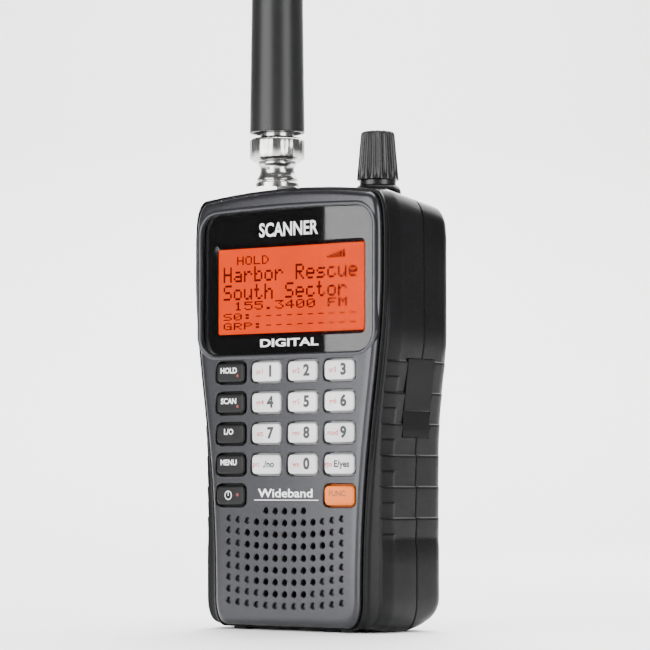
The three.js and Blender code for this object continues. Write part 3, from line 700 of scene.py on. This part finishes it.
def rear_skin(name):
    """The rear half's outside, from the parting line to the rounded edge of the back."""
    depths = [PARTING_REAR + step for step in (0.2, 1.5, 3, 4.5, 6)]
    depths += [BACK - BACK_ROUND * (1 - sin(radians(a))) for a in ROUND_STEPS]
    return loft(name, [rear_ring(PARTING_REAR, 0.2)] + [rear_ring(y) for y in depths])


def cavity(name, front, back):
    """The hollow inside the case between two depths."""
    mouth = panel_outline(0.9, 3)
    side = case_outline(2.2, BACK - BACK_ROUND)
    rings = [(side, front), (side, back)]
    if front < FRONT:
        rings = [(mouth, front), (mouth, FRONT + 3.1), (between(mouth, side, 0.85), FRONT + 5),
                 (side, FRONT + 7), (side, back)]
    return loft(name, [facing(o, y) for o, y in rings])


def top_cuts():
    """Holes in the top for the aerial's socket, the dial's shaft and the earphone's plug."""
    below = HEIGHT - BEYOND
    above = HEIGHT + BEYOND
    return [
        rod("cut_aerial", AERIAL_X, TOP_Y, 0, 5, below, above),
        rod("cut_aerial_seat", AERIAL_X, TOP_Y, 0, 7.3, DECK, above),
        rod("cut_dial", DIAL_X, TOP_Y, 0, 3.6, below, above),
        rod("cut_dial_seat", DIAL_X, TOP_Y, 0, 6.5, DECK, above),
        rod("cut_phone", 0, TOP_Y, 0, 4.1, below, above),
    ]


FLAP_SIDE = CASE_HALF((FLAP_LOW.z + FLAP_HIGH.z) / 2)
FLAP_SEAM = 0.2
FLAP_OUT = 60  # past the side of the case


def flap_recess():
    """Room in the side for the flap, with a seam round it."""
    low = FLAP_LOW - Vector((0, FLAP_SEAM, FLAP_SEAM))
    high = FLAP_HIGH + Vector((30, FLAP_SEAM, FLAP_SEAM))
    return box("cut_flap", (FLAP_SIDE - 1.7, low.y, low.z), high)


def port_flap():
    """A rubber flap in line with the side: a pad over the socket, and a set-back tongue under it."""
    front = FLAP_LOW.y - 1
    back = FLAP_HIGH.y + 1
    skin = prism("port_flap_look", case_outline(), FLAP_LOW.y, FLAP_HIGH.y)
    keep = box("keep_flap", (FLAP_SIDE - 1.4, front, FLAP_LOW.z), (FLAP_OUT, back, FLAP_HIGH.z))
    boolean(skin, [keep], "INTERSECT")
    step = box("cut_step", (FLAP_SIDE - 0.7, front, FLAP_LOW.z - 1), (FLAP_OUT, back, FLAP_LOW.z + 7))
    boolean(skin, [step])
    moulded(skin, FLAP_RUBBER, "port_flap", "port_flap", 0.25, 3)


def bosses(front, back):
    """The flared seats of the aerial and the dial, between two depths."""
    seats = []
    flare = [(0, 106), (10.5, 106), (9.8, 111.5), (8.8, 113.6), (7.9, 115.2), (7.4, DECK - 0.3),
             (7.1, DECK), (0, DECK)]
    for x in (AERIAL_X, DIAL_X):
        seat = lathe("seat", flare, x, TOP_Y, sides=72)
        keep = box("keep", (x - BEYOND, front, 90), (x + BEYOND, back, HEIGHT))
        boolean(seat, [keep], "INTERSECT")
        seats.append(seat)
    return seats


def front_case():
    """The front half: skin, seats, the panel's pocket and the hollow behind it."""
    case = front_skin()
    boolean(case, bosses(FRONT + 8, PARTING_FRONT), "UNION")
    pocket = prism("cut_pocket", panel_outline(-0.2, -0.2), FRONT - 2, PANEL_BACK + GAP)
    boolean(case, [pocket, cavity("cut_cavity", FRONT - 2, PARTING_FRONT + 1), *top_cuts(), flap_recess()])
    moulded(case, SHELL, "front_case")


FOOT_X = 18.3
FOOT_HALF = 2.3
FOOT_RISE = 2.2


def front_feet():
    """Two small feet under the panel."""
    feet = []
    for x in (-FOOT_X, FOOT_X):
        rings = []
        for y, inset in ((3.6, 0.3), (3.9, 0), (8.7, 0), (9, 0.3)):
            shape = rounded(x - FOOT_HALF + inset, x + FOOT_HALF - inset, 0, FOOT_RISE, 0.5, 3)
            rings.append(facing(shape, FRONT + y))
        feet.append(loft("foot", rings))
    place(joined("front_feet", feet), SHELL)


BAY_WALL = 1.2
SCREW_SEAT = 2.7
SCREW_SINK = 1.8


def rear_case():
    """The rear half: skin, seats, the battery bay with the door's grooves, and the screws' seats."""
    case = rear_skin("rear_case_look")
    boolean(case, bosses(PARTING_REAR, BACK), "UNION")
    bay_half = cad("cell_3")[1].x + GAP
    bay_front = cad("cell_1")[0].y - 0.65
    bay_floor = cad("contact_lower")[0].z - GAP
    bay_roof = cad("contact_upper")[1].z + GAP
    ledge = DOOR_HIGH.y - DOOR_PLATE - GAP
    boolean(case, [cavity("cut_upper", PARTING_REAR - 1, BACK - 3.4), *top_cuts(), flap_recess()])
    tub = box("tub", (-bay_half - BAY_WALL, bay_front - BAY_WALL, bay_floor - BAY_WALL),
              (bay_half + BAY_WALL, ledge - 0.7, bay_roof + BAY_WALL))
    boolean(case, [tub], "UNION")
    half = DOOR_HIGH.x
    behind = BACK + BEYOND
    boolean(case, [
        box("cut_bay", (-bay_half, bay_front, bay_floor), (bay_half, behind, bay_roof)),
        box("cut_door", (-half + 0.7, ledge, -BEYOND), (half - 0.7, behind, DOOR_HIGH.z + GAP)),
        box("cut_groove", (-half - GAP, ledge, -BEYOND), (half + GAP, ledge + 1.3, DOOR_HIGH.z - 1.7)),
    ])
    seats = []
    for i in range(1, 5):
        x, _, z = middle(f"case_screw_{i}")
        seats.append(rod("cut_seat", x, 0, z, SCREW_SEAT, BACK - SCREW_SINK, BACK + 3, "y"))
    boolean(case, seats)
    moulded(case, SHELL, "rear_case")


THUMB_SLOTS = 5
THUMB_PITCH = 1.9


def battery_door():
    """The sliding cover of the cells: the case's own skin with a tongue at each side and thumb slots."""
    door = rear_skin("battery_door_look")
    inner = DOOR_HIGH.y - DOOR_PLATE
    half = DOOR_HIGH.x
    keep = box("keep_plate", (-half + 1, inner, -BEYOND), (half - 1, BACK + BEYOND, DOOR_HIGH.z))
    boolean(keep, [box("keep_tongues", (-half, inner, 6.3), (half, inner + 0.7, DOOR_HIGH.z - 2))], "UNION")
    boolean(door, [keep], "INTERSECT")
    slots = []
    for i in range(THUMB_SLOTS):
        z = DOOR_HIGH.z - 4 - THUMB_PITCH * i
        slots.append(rod("slot", 0, DOOR_HIGH.y + 0.35, z, 0.75, -5.5, 5.5, "x", 24))
    boolean(door, slots)
    moulded(door, SHELL, "battery_door", "battery_door", 0.15)


GRIP_SLOTS = 4
GRIP_PITCH = 1.6


def belt_clip():
    """A sprung lever pinned between two ears of a plate, its toe bent in to the back."""
    low, high = cad("clip_lever")
    pin_low, pin_high = cad("clip_pin")
    _, pin_y, pin_z = middle("clip_pin")
    inner = high.y - 1.8
    head = [(high.y - 0.5, high.z), (inner + 0.4, high.z), (inner, high.z - 0.5)]
    toe = [(0, 5), (-0.6, 2.8), (-1.8, 1.5), (-3, 1), (-3.1, 0.5), (-2.8, 0), (-1, 0.1), (0.7, 1.6)]
    outer = [(high.y - 0.3, low.z + 3.4), (high.y, low.z + 5.2), (high.y, high.z - 0.5)]
    side = head + [(inner + y, low.z + z) for y, z in toe] + outer
    lever = loft("clip_lever_look", [[(x, y, z) for y, z in side] for x in (low.x, high.x)])
    boolean(lever, [rod("knuckle", 0, pin_y, pin_z, 2.2, low.x, high.x, "x", 40)], "UNION")
    grips = []
    for i in range(GRIP_SLOTS):
        z = high.z - 2.2 - GRIP_PITCH * i
        grips.append(rod("grip", 0, high.y + 0.3, z, 0.6, low.x - 1, high.x + 1, "x", 20))
    bore = rod("bore", 0, pin_y, pin_z, (pin_high.z - pin_low.z) / 2 + GAP, -BEYOND, BEYOND, "x")
    boolean(lever, [bore, *grips])
    moulded(lever, SHELL, "clip_lever", "clip_lever", 0.3, 3)


# ---- the front panel ----

KEYS = (
    "hold", "1", "2", "3",
    "scan", "4", "5", "6",
    "lockout", "7", "8", "9",
    "menu", "dot", "0", "enter",
    "power", "function",
)
KEY_FLANGE = 0.4  # how far the CAD key's hidden flange stands out round its cap
KEY_SEAM = 0.4
KEY_SHRINK = 0.12
KEY_CORNER = 1.2
KEY_LOW, KEY_HIGH = cad("key_1")
KEY_WIDTH = (KEY_HIGH - KEY_LOW).x - 2 * KEY_FLANGE
KEY_RISE = (KEY_HIGH - KEY_LOW).z - 2 * KEY_FLANGE


def flared_cut(name, shape, flare=0.22):
    """A hole through the panel whose front edge is eased."""
    steps = [(flare, FRONT - 1), (flare, FRONT), (0, FRONT + flare), (0, PANEL_BACK + 1)]
    return stepped(name, shape, steps)


def key_hole(name):
    """The hole in the panel that a key stands in."""
    x, _, z = middle("key_" + name)

    def shape(grow):
        half = KEY_WIDTH / 2 + KEY_SEAM + grow
        rise = KEY_RISE / 2 + KEY_SEAM + grow
        return rounded(x - half, x + half, z - rise, z + rise, KEY_CORNER + KEY_SEAM + grow, 4)

    return flared_cut("cut_key_" + name, shape)


def lens_outline(grow):
    """A rounded rectangle whose top edge is slightly arched."""
    half = LENS_HALF + grow
    radius = LENS_CORNER + grow
    low = LENS_LOW.z - grow
    top = LENS_TOP + grow
    crown = 0.5
    shoulder = top - crown - radius
    right = arc(half - radius, low + radius, radius, -90, 0, 10)
    right += arc(half - radius, shoulder, radius, 0, 90, 10)
    right += quadratic((half - radius, top - crown), ((half - radius) / 2, top), (0, top), 6)
    left = [(-x, z) for x, z in reversed(right[:-1])]
    return right + left


GRILLE_COLUMNS = 13
GRILLE_PITCH = 3.22
GRILLE_RISE = 3.17
GRILLE_FOOT = 6.6
GRILLE_ROWS = 9
TOP_ROW_COLUMNS = 5
OPEN_WIDTHS = {1: 5, 2: 7, 3: 9, 4: 9, 5: 9, 6: 9, 7: 7}  # how many holes of a row are open
OPEN_DEPTH = PANEL_BACK - FRONT + 1


def grille_holes():
    """Open holes in a round field, and shallow dimples that carry its rows out to both sides."""
    cuts = []
    for row in range(GRILLE_ROWS):
        is_top = row == GRILLE_ROWS - 1
        columns = TOP_ROW_COLUMNS if is_top else GRILLE_COLUMNS
        for i in range(columns):
            x = (i - (columns - 1) / 2) * GRILLE_PITCH
            z = GRILLE_FOOT + row * GRILLE_RISE + x * x / 300
            is_open = abs(x) <= (OPEN_WIDTHS.get(row, 0) - 1) / 2 * GRILLE_PITCH + 0.1
            depth = OPEN_DEPTH if is_open else 1.8 if is_top else 0.9
            profile = [(0, -0.5), (1.02, -0.5), (1.02, 0), (0.86, 0.18), (0.82, depth), (0, depth)]
            cuts.append(lathe("hole", profile, x, FRONT, z, 14, "y"))
    return joined("cut_grille", cuts)


def front_panel():
    """The grey panel with rounded edges, the holes of lens and keys, and the speaker's grille."""
    edge = [(2.6, 0), (1.7, 0), (1.25, 0.06), (0.8, 0.24), (0.42, 0.55), (0.15, 0.95), (0.03, 1.4),
            (0, 1.8), (0, 2.2)]
    steps = [(inset, FRONT + y) for inset, y in edge]
    panel = stepped("front_panel_look", lambda inset: panel_outline(inset, inset * 1.2), steps)
    boolean(panel, [prism("cut_lens", lens_outline(0.2), FRONT - 1, PANEL_BACK + 1)])
    boolean(panel, [joined("cut_keys", [key_hole(name) for name in KEYS])])
    boolean(panel, [grille_holes()])
    smooth(panel, 30)
    place(panel, PANEL_PAINT, replaces=["front_panel"])


def lens_lip():
    """The bright raised lip of the panel round the lens."""
    profile = [(0.15, 1.9), (0.15, 0.05), (0.25, -0.12), (0.45, -0.22), (0.75, -0.24), (1.05, -0.14),
               (1.35, 0.02), (1.5, 0.14), (1.5, 1.9)]
    lip = stepped("lens_lip", lens_outline, [(grow, FRONT + y) for grow, y in profile], closed=True)
    place(lip, PANEL_PAINT)


def screen_outline(grow):
    """The window over the display, grown by a margin."""
    half = SCREEN_HALF + grow
    return rounded(-half, half, SCREEN_BOTTOM - grow, SCREEN_TOP + grow, 0.6 + grow, 4)


def display():
    """The clear lens, and the black print behind it with a window over the display."""
    edge = [(-0.7, LENS_FRONT), (-0.35, LENS_FRONT), (-0.1, LENS_FRONT + 0.08), (0, LENS_FRONT + 0.25),
            (0, LENS_HIGH.y)]
    lens = stepped("lens_look", lens_outline, edge)
    place(lens, CLEAR_LENS, replaces=["display_lens"])
    front = LENS_HIGH.y + 0.1
    back = GLASS_LOW.y - 0.04
    bezel = prism("display_bezel", lens_outline(0.1), front, back)
    walls = [(1.2, front - 1), (1.0, front), (0, back - 0.1), (0, back + 1)]
    boolean(bezel, [stepped("cut_bezel", screen_outline, walls)])
    place(bezel, LENS_PRINT)


# Dot-matrix letters, seven rows of five dots from the top; a row is read as a number in base two.
DOTS = {
    "H": (17, 17, 17, 31, 17, 17, 17), "O": (14, 17, 17, 17, 17, 17, 14), "L": (16, 16, 16, 16, 16, 16, 31),
    "D": (28, 18, 17, 17, 17, 18, 28), "a": (0, 0, 14, 1, 15, 17, 15), "r": (0, 0, 22, 25, 16, 16, 16),
    "b": (16, 16, 22, 25, 17, 17, 30), "o": (0, 0, 14, 17, 17, 17, 14), "R": (30, 17, 17, 30, 20, 18, 17),
    "e": (0, 0, 14, 17, 31, 16, 14), "s": (0, 0, 15, 16, 14, 1, 30), "c": (0, 0, 14, 16, 16, 17, 14),
    "u": (0, 0, 17, 17, 17, 19, 13), "S": (15, 16, 16, 14, 1, 1, 30), "t": (8, 8, 28, 8, 8, 9, 6),
    "h": (16, 16, 22, 25, 17, 17, 17), "G": (14, 17, 16, 23, 17, 17, 15), "P": (30, 17, 17, 30, 16, 16, 16),
    "F": (31, 16, 16, 30, 16, 16, 16), "M": (17, 27, 21, 21, 17, 17, 17), ":": (0, 12, 12, 0, 12, 12, 0),
    "-": (0, 0, 0, 14, 0, 0, 0), ".": (0, 0, 0, 0, 0, 12, 12), "0": (14, 17, 19, 21, 25, 17, 14),
    "1": (4, 12, 4, 4, 4, 4, 14), "3": (31, 2, 4, 2, 1, 17, 14), "4": (2, 6, 10, 18, 31, 2, 2),
    "5": (31, 16, 30, 1, 1, 17, 14),
}
DOT_ROWS = 7
DOT_COLUMNS = 5
LETTER_DOTS = 6.2  # a letter's pitch in dots
# Each line: its text, where it starts and its letters' pitch, its top and its height, all as shares
# of the display's width or height.
DISPLAY_LINES = (
    ("HOLD", 0.13, 0.058, 0.09, 0.1),
    ("Harbor Rescue", 0.035, 0.0716, 0.21, 0.18),
    ("South Sector", 0.035, 0.0716, 0.42, 0.18),
    ("155.3400 FM", 0.11, 0.0716, 0.62, 0.1),
    ("S0:----------", 0.035, 0.0716, 0.755, 0.08),
    ("GRP:---------", 0.035, 0.0716, 0.865, 0.08),
)


def display_text():
    """Dots of the display's lines, and the signal bars, just in front of the glass."""
    width = 2 * SCREEN_HALF
    rise = SCREEN_TOP - SCREEN_BOTTOM
    near = GLASS_LOW.y - 0.03
    far = GLASS_LOW.y - 0.005
    verts = []
    faces = []

    def ink(x0, x1, z0, z1):
        start = len(verts)
        verts.extend((x, y, z) for y in (near, far) for x, z in ((x0, z0), (x1, z0), (x1, z1), (x0, z1)))
        for face in ((0, 1, 2, 3), (7, 6, 5, 4), (4, 5, 1, 0), (5, 6, 2, 1), (6, 7, 3, 2), (7, 4, 0, 3)):
            faces.append(tuple(start + i for i in face))

    for text, left, pitch, top, height in DISPLAY_LINES:
        dot = pitch * width / LETTER_DOTS
        row_rise = height * rise / DOT_ROWS
        for i, letter in enumerate(text):
            for row, bits in enumerate(DOTS.get(letter, ())):
                for column in range(DOT_COLUMNS):
                    if bits >> (DOT_COLUMNS - 1 - column) & 1:
                        x = -SCREEN_HALF + (left + pitch * i) * width + column * dot
                        z = SCREEN_TOP - top * rise - row * row_rise
                        ink(x, x + 0.98 * dot, z - 0.97 * row_rise, z)
    for bar in range(6):
        x = -SCREEN_HALF + (0.75 + 0.021 * bar) * width
        z = SCREEN_TOP - 0.16 * rise
        ink(x, x + 0.75, z, z + 0.5 + 0.3 * bar)
    place(build("display_text", verts, faces), DISPLAY_INK)


def panel_print():
    """White words on the lens, and a plain word with a thin line under it over the grille."""
    behind = LENS_HIGH.y + 0.05
    above = (LENS_TOP + SCREEN_TOP) / 2 - 0.6
    below = (LENS_LOW.z + SCREEN_BOTTOM) / 2
    name = lettering("name", "SCANNER", 5.2, 0, behind, above, width=0.86, weight=0.1)
    model = lettering("model", "DIGITAL", 2.9, 0.2, behind, below, width=1.85, weight=0.07)
    for piece in (name, model):
        place(piece, PRINT_WHITE)
    z = middle("key_power")[2]
    word = lettering("word", "Wideband", 3.2, 0.4, FRONT - 0.01, z + 0.5, width=1.4, weight=0.05)
    line = box("line", (-10.4, FRONT - 0.02, z - 1.35), (11.6, FRONT + 0.02, z - 1.15))
    place(joined("panel_word", [word, line]), PRINT_WHITE)


# ---- keys ----

def key_cap(name, material):
    """A key's domed cap with its hidden flange."""
    x, _, z = middle("key_" + name)
    low, high = cad("key_" + name)
    half = KEY_WIDTH / 2 - KEY_SHRINK
    rise = KEY_RISE / 2 - KEY_SHRINK
    steps = [(1.1, 0), (0.75, 0), (0.4, 0.05), (0.18, 0.18), (0.05, 0.4), (0, 0.7)]
    rings = []
    for inset, y in steps:
        shape = rounded(x - half + inset, x + half - inset, z - rise + inset, z + rise - inset,
                        max(KEY_CORNER - inset * 0.5, 0.5), 5)
        rings.append(facing(shape, low.y + y))
    wide = rounded(x - half, x + half, z - rise, z + rise, KEY_CORNER, 5)
    flange = rounded(low.x, high.x, low.z, high.z, KEY_CORNER, 5)
    rings += [facing(wide, high.y - 0.8), facing(flange, high.y - 0.8), facing(flange, high.y)]
    cap = loft("key_cap_" + name, rings)
    place(cap, material, body="key_" + name, replaces=["key_" + name])


LEGENDS = {
    "1": ("1", "sr1"), "2": ("2", "sr2"), "3": ("3", "sr3"), "4": ("4", "gr4"), "5": ("5", "gr5"),
    "6": ("6", "gr6"), "7": ("7", "att"), "8": ("8", "rev"), "9": ("9", "mod"), "dot": ("./no", "pri"),
    "0": ("0", "wx"), "enter": ("E/yes", "gps"),
}
WORDS = {"hold": "HOLD", "scan": "SCAN", "lockout": "L/O", "menu": "MENU", "function": "FUNC"}


def legend(name):
    """What is printed on a key: a sign and a small red one by it, a mark, or a word."""
    x, _, z = middle("key_" + name)
    y = cad("key_" + name)[0].y
    other = None
    if name in LEGENDS:
        sign, hint = LEGENDS[name]
        size, shift, weight, aside = (2.5, 1.0, 0.08, 3.3) if len(sign) > 1 else (4.1, 1.6, 0.2, 1.9)
        main = paint(lettering("main", sign, size, x + shift, y, z, weight=weight), PRINT_DARK)
        other = lettering("other", hint, 2.0, x - aside, y, z, weight=0.03)
    elif name == "power":
        main = paint(power_mark(x - 0.6, y, z), PRINT_WHITE)
        other = lettering("other", "*", 2.2, x + 2.6, y, z - 0.3)
    else:
        ink = PRINT_BROWN if name == "function" else PRINT_WHITE
        main = paint(lettering("main", WORDS[name], 2.1, x - 0.5, y, z + 0.5, weight=0.05), ink)
        if name in ("hold", "scan"):
            other = lettering("other", "*", 2.0, x + 2.6, y, z - 1.3)
    parts = [main] if other is None else [main, paint(other, PRINT_RED)]
    place(joined("legend_" + name, parts), None, body="key_" + name)


def power_mark(x, y, z):
    """A ring with an upright stroke."""
    rings = []
    for radius, depth in ((1.0, 0.02), (1.0, -0.02), (1.25, -0.02), (1.25, 0.02)):
        rings.append(facing(arc(x, z, radius, 0, 345, 23), y + depth))
    ring = loft("ring", rings, closed=True)
    stroke = box("stroke", (x - 0.12, y - 0.02, z - 0.1), (x + 0.12, y + 0.02, z + 0.9))
    return joined("mark", [ring, stroke])


def keypad():
    """All keys: light ones with signs, dark ones with words, and an orange one."""
    for name in KEYS:
        material, slot = KEY_DARK, "key_dark"
        if name == "function":
            material, slot = KEY_ORANGE, "key_orange"
        elif name in LEGENDS:
            material, slot = KEY_LIGHT, "key_light"
        key_cap(name, material)
        legend(name)


# ---- the top ----

def on_deck(name, profile, x=AERIAL_X, sides=72, **more):
    """A profile turned about the upright axis of the aerial, or of another x, from the seats up."""
    return lathe(name, profile, x, TOP_Y, DECK, sides, **more)


WHIP_FOOT = 7.6
WHIP_TIP = 5.5


def aerial():
    """The tapering rubber aerial with a round tip, and the metal plug in its foot."""
    low, high = cad("aerial_whip")
    base = low.z + 0.2
    taper = WHIP_TIP - WHIP_FOOT
    run = (high.z - low.z) - 0.2 - WHIP_TIP
    profile = [(0, low.z + 1.4), (5.0, low.z + 1.4), (6.6, low.z + 0.9), (6.8, low.z)]
    profile += [(WHIP_FOOT - 0.15, low.z), (WHIP_FOOT, base)]
    profile += [(WHIP_FOOT + taper * i / 12, base + run * i / 12) for i in range(1, 13)]
    for degrees in range(15, 90, 15):
        turn = radians(degrees)
        profile.append((WHIP_TIP * cos(turn), high.z - WHIP_TIP * (1 - sin(turn))))
    profile.append((0, high.z))
    whip = lathe("whip", profile, AERIAL_X, TOP_Y, sides=72)
    place(whip, RUBBER, body="aerial", replaces=["aerial_whip"])
    plug = [(0, 8), (0.7, 8), (0.7, 9.6), (3.5, 9.6), (3.5, 18.5), (4.4, 18.5), (4.7, 18.7), (4.7, 20.6),
            (0, 20.6)]
    place(on_deck("plug", plug), NICKEL, body="aerial", replaces=["aerial_plug"])


def coupling():
    """The bayonet socket with its lugs, and the ring that locks the aerial's plug to it."""
    ring = [(5.1, 11.6), (6.1, 11.6), (6.5, 11.8), (7.3, 12.5), (7.6, 12.9), (7.6, 17.4), (7.4, 17.8),
            (7.0, 18.1), (6.6, 18.2), (4.9, 18.2), (4.9, 17.9), (5.1, 17.9), (5.1, 16.2), (5.95, 16.2),
            (5.95, 13.6), (5.1, 13.6)]
    ring = on_deck("locking_ring", ring, sides=144, sharp=50, closed=True, lobes=24)
    place(ring, NICKEL, body="bayonet_ring", replaces=["aerial_ring"])
    barrel = [(0, -8), (4.7, -8), (4.7, 6.3), (5.5, 6.3), (5.6, 6.5), (5.5, 7.1), (5.1, 7.7), (4.8, 8.4),
              (4.7, 9.2), (4.75, 10), (4.95, 10.6), (5.3, 11), (5.3, 11.2), (4.7, 11.3), (4.7, 17.5),
              (4.6, 17.6), (3.9, 17.6), (3.8, 17.5), (3.8, 6.5), (0, 6.5)]
    place(on_deck("socket_barrel", barrel), NICKEL, replaces=["aerial_socket"])
    lugs = [rod("lug", AERIAL_X + side * 5, TOP_Y, DECK + 14.9, 0.8, -0.7, 0.7, "x", 16) for side in (-1, 1)]
    lugs.append(rod("pin", AERIAL_X + 0.65, TOP_Y - 4.6, DECK + 9.6, 0.42, -0.35, 0.35, "y", 16))
    place(joined("socket_lugs", lugs), STEEL)


NUT_CORNER = 7
NUT_TURN = 8
NUT_TOP = 4.6


def aerial_nut():
    """The hexagon nut that holds the socket, with chamfered corners and a round shoulder."""
    corners = []
    for i in range(6):
        turn = radians(60 * i + NUT_TURN)
        corners.append((AERIAL_X + NUT_CORNER * cos(turn), TOP_Y + NUT_CORNER * sin(turn)))
    nut = loft("nut", [[(x, y, DECK + z) for x, y in corners] for z in (GAP, NUT_TOP)])
    profile = [(0, GAP), (6.5, GAP), (7.1, 0.6), (7.1, 4.1), (6.2, NUT_TOP), (0, NUT_TOP)]
    chamfers = on_deck("chamfers", profile)
    face_out(nut)
    boolean(nut, [chamfers], "INTERSECT")
    shoulder = on_deck("shoulder", [(0, 3), (5.9, 3), (5.9, 5.7), (5.6, 6), (0, 6)])
    boolean(nut, [shoulder], "UNION")
    boolean(nut, [rod("bore", AERIAL_X, TOP_Y, DECK, 5, -2, 8, sides=48)])
    smooth(nut, 25)
    place(nut, NICKEL, replaces=["aerial_nut"])


FLUTES = 16
FLUTE_DEPTH = 0.11  # as a share of the knob's radius


def dial():
    """The fluted knob, which tapers a little, and the collar round its foot."""
    low, high = cad("dial_knob")
    foot = (high.x - low.x) / 2
    top = foot - 1.05
    neck = low.z + 1.2
    profile = [(0, low.z), (4.9, low.z), (4.9, neck), (foot - 0.4, neck), (foot, neck + 0.25)]
    profile += [(foot + (top - foot) * i / 8, neck + 0.5 + (high.z - neck - 1.6) * i / 8) for i in range(9)]
    crown = [(0.12, 0.6), (0.45, 0.25), (1.0, 0.04), (1.6, 0)]
    profile += [(top - step, high.z - drop) for step, drop in crown] + [(0, high.z)]
    knob = lathe("knob", profile, 0, 0, sides=12 * FLUTES, sharp=50)
    for vertex in knob.data.vertices:
        x, y, z = vertex.co / MM
        if hypot(x, y) < 3.2 or z < neck + 0.1:
            continue
        wave = 0.5 - 0.5 * cos(FLUTES * atan2(y, x))
        reach = min(max((z - neck - 0.2) / 1.0, 0), 1) * min(max((high.z - z) / 0.9, 0), 1)
        scale = 1 - FLUTE_DEPTH * wave**1.5 * reach
        vertex.co.x *= scale
        vertex.co.y *= scale
    knob.data.transform(Matrix.Translation((DIAL_X * MM, TOP_Y * MM, 0)))
    smooth(knob, 50)
    place(knob, KNOB, body="dial", replaces=["dial_knob"])
    collar = [(5.2, GAP), (6.25, GAP), (6.2, 1.6), (5.9, 2.3), (5.5, 2.8), (5.2, 3)]
    collar = on_deck("dial_collar_look", collar, DIAL_X, closed=True)
    place(collar, SHELL, replaces=["dial_collar"])


# ---- what stays as CAD, with a better finish ----

CAD_FINISHES = (
    (SHELL, "clip_bracket"),
    (DISPLAY_GLOW, "display_glass"),
    (LIGHT_GUIDE, "display_light"),
    (INNER_PLASTIC, "display_frame"),
    (RUBBER, "keypad_mat"),
    (BOARD, "main_board"),
    (CLOTH, "speaker_cloth"),
    (CONE_PAPER, "speaker_cone"),
    (FERRITE, "speaker_magnet"),
    (KEY_DARK, "phone_socket"),
    (STEEL, "shield_can speaker_frame contact_lower contact_upper usb_socket"),
    (STEEL, "dial_shaft encoder_rotor encoder_body"),
    (CELL_SLEEVE, "cell_1 cell_2 cell_3"),
    (BLACK_STEEL, "clip_pin clip_screw case_screw_1 case_screw_2 case_screw_3 case_screw_4"),
)


def finish_cad_nodes():
    """Gives the CAD nodes that stay visible their materials."""
    for material, nodes in CAD_FINISHES:
        for node in nodes.split():
            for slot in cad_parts[node].material_slots:
                slot.material = material


# ---- camera, floor and lights ----

AZIMUTH = radians(38)
DISTANCE = 825
EYE_HEIGHT = 39.2
ASIDE = 1.33
TILT = radians(3.0)
FOCAL_LENGTH = 168.1


def camera():
    """The photograph's view, from a little above the floor and to the right of the front."""
    data = bpy.data.cameras.new("camera")
    data.lens = FOCAL_LENGTH
    data.sensor_width = 36
    eye = added("camera", data)
    middle_y = FRONT + 15.5
    eye.location = Vector((
        DISTANCE * sin(AZIMUTH) + ASIDE * cos(AZIMUTH),
        -DISTANCE * cos(AZIMUTH) + ASIDE * sin(AZIMUTH) + middle_y,
        EYE_HEIGHT,
    )) * MM
    eye.rotation_euler = (radians(90) + TILT, 0, AZIMUTH)
    bpy.context.scene.camera = eye


def soft_light(name, width, height, power, spot, way):
    """A rectangular light at a point in metres; it shines against a direction."""
    data = bpy.data.lights.new(name, "AREA")
    data.shape = "RECTANGLE"
    data.size = width
    data.size_y = height
    data.energy = power
    light = added(name, data)
    light.location = spot
    light.rotation_euler = way.to_track_quat("Z", "Y").to_euler()


def area(name, azimuth, elevation, distance, size, power, aim=(0, 0, 0.07)):
    """A square light round the object by its compass direction, 0 straight in front."""
    a = radians(azimuth)
    e = radians(elevation)
    way = Vector((sin(a) * cos(e), -cos(a) * cos(e), sin(e)))
    soft_light(name, size, size, power, Vector(aim) + way * distance, way)


CARD_HEIGHT = 0.42


def card(name, start, end, power):
    """An upright light that stands on the floor between two points and faces the object."""
    a = Vector((*start, 0))
    b = Vector((*end, CARD_HEIGHT))
    along = b - a
    spot = (a + b) / 2
    way = Vector((along.y, -along.x, 0)).normalized()
    if way.dot(spot) < 0:
        way = -way
    soft_light(name, Vector((along.x, along.y)).length, CARD_HEIGHT, power, spot, way)


FLOOR_HALF = 3.0


def floor():
    """A white sweep in metres: a floor that curves up into a wall behind the object."""
    data = bpy.data.meshes.new("floor")
    profile = [(-3.0, 0.0), (1.2, 0.0), (1.5, 0.04), (1.75, 0.15), (1.92, 0.35), (2.0, 0.7), (2.0, 3.5)]
    points = [(side, along, up) for along, up in profile for side in (-FLOOR_HALF, FLOOR_HALF)]
    faces = [(2 * i, 2 * i + 1, 2 * i + 3, 2 * i + 2) for i in range(len(profile) - 1)]
    data.from_pydata(points, [], faces)
    sweep = added("floor", data)
    sweep.rotation_euler = (0, 0, AZIMUTH)
    finish = Finish("floor_paint", (0.9, 0.9, 0.9), 0.7)
    finish.vary_roughness(finish.noise(60, 2), 0.05)
    sweep.data.materials.append(finish.material)
    smooth(sweep, 60)


def lights():
    """A dim white world, a light from above and one from behind, one on the wall, and two cards."""
    world = bpy.data.worlds.new("world")
    world.use_nodes = True
    background = world.node_tree.nodes["Background"]
    background.inputs["Color"].default_value = (1, 1, 1, 1)
    background.inputs["Strength"].default_value = 0.1
    bpy.context.scene.world = world
    area("top", 180, 80, 1.3, 1.3, 40)
    area("rim", 184, 42, 0.95, 0.7, 9)
    area("backdrop", 218, 60, 1.1, 1.2, 420, aim=(-1.1, 1.4, 0.1))
    card("card", (-0.335, -0.4625), (0.09, -0.4625), 4.2)
    card("side_card", (0.53, -0.27), (0.56, 0.06), 3.0)


front_panel()
lens_lip()
display()
display_text()
panel_print()
front_case()
front_feet()
rear_case()
battery_door()
belt_clip()
port_flap()
keypad()
aerial()
coupling()
aerial_nut()
dial()
finish_cad_nodes()
camera()
floor()
lights()
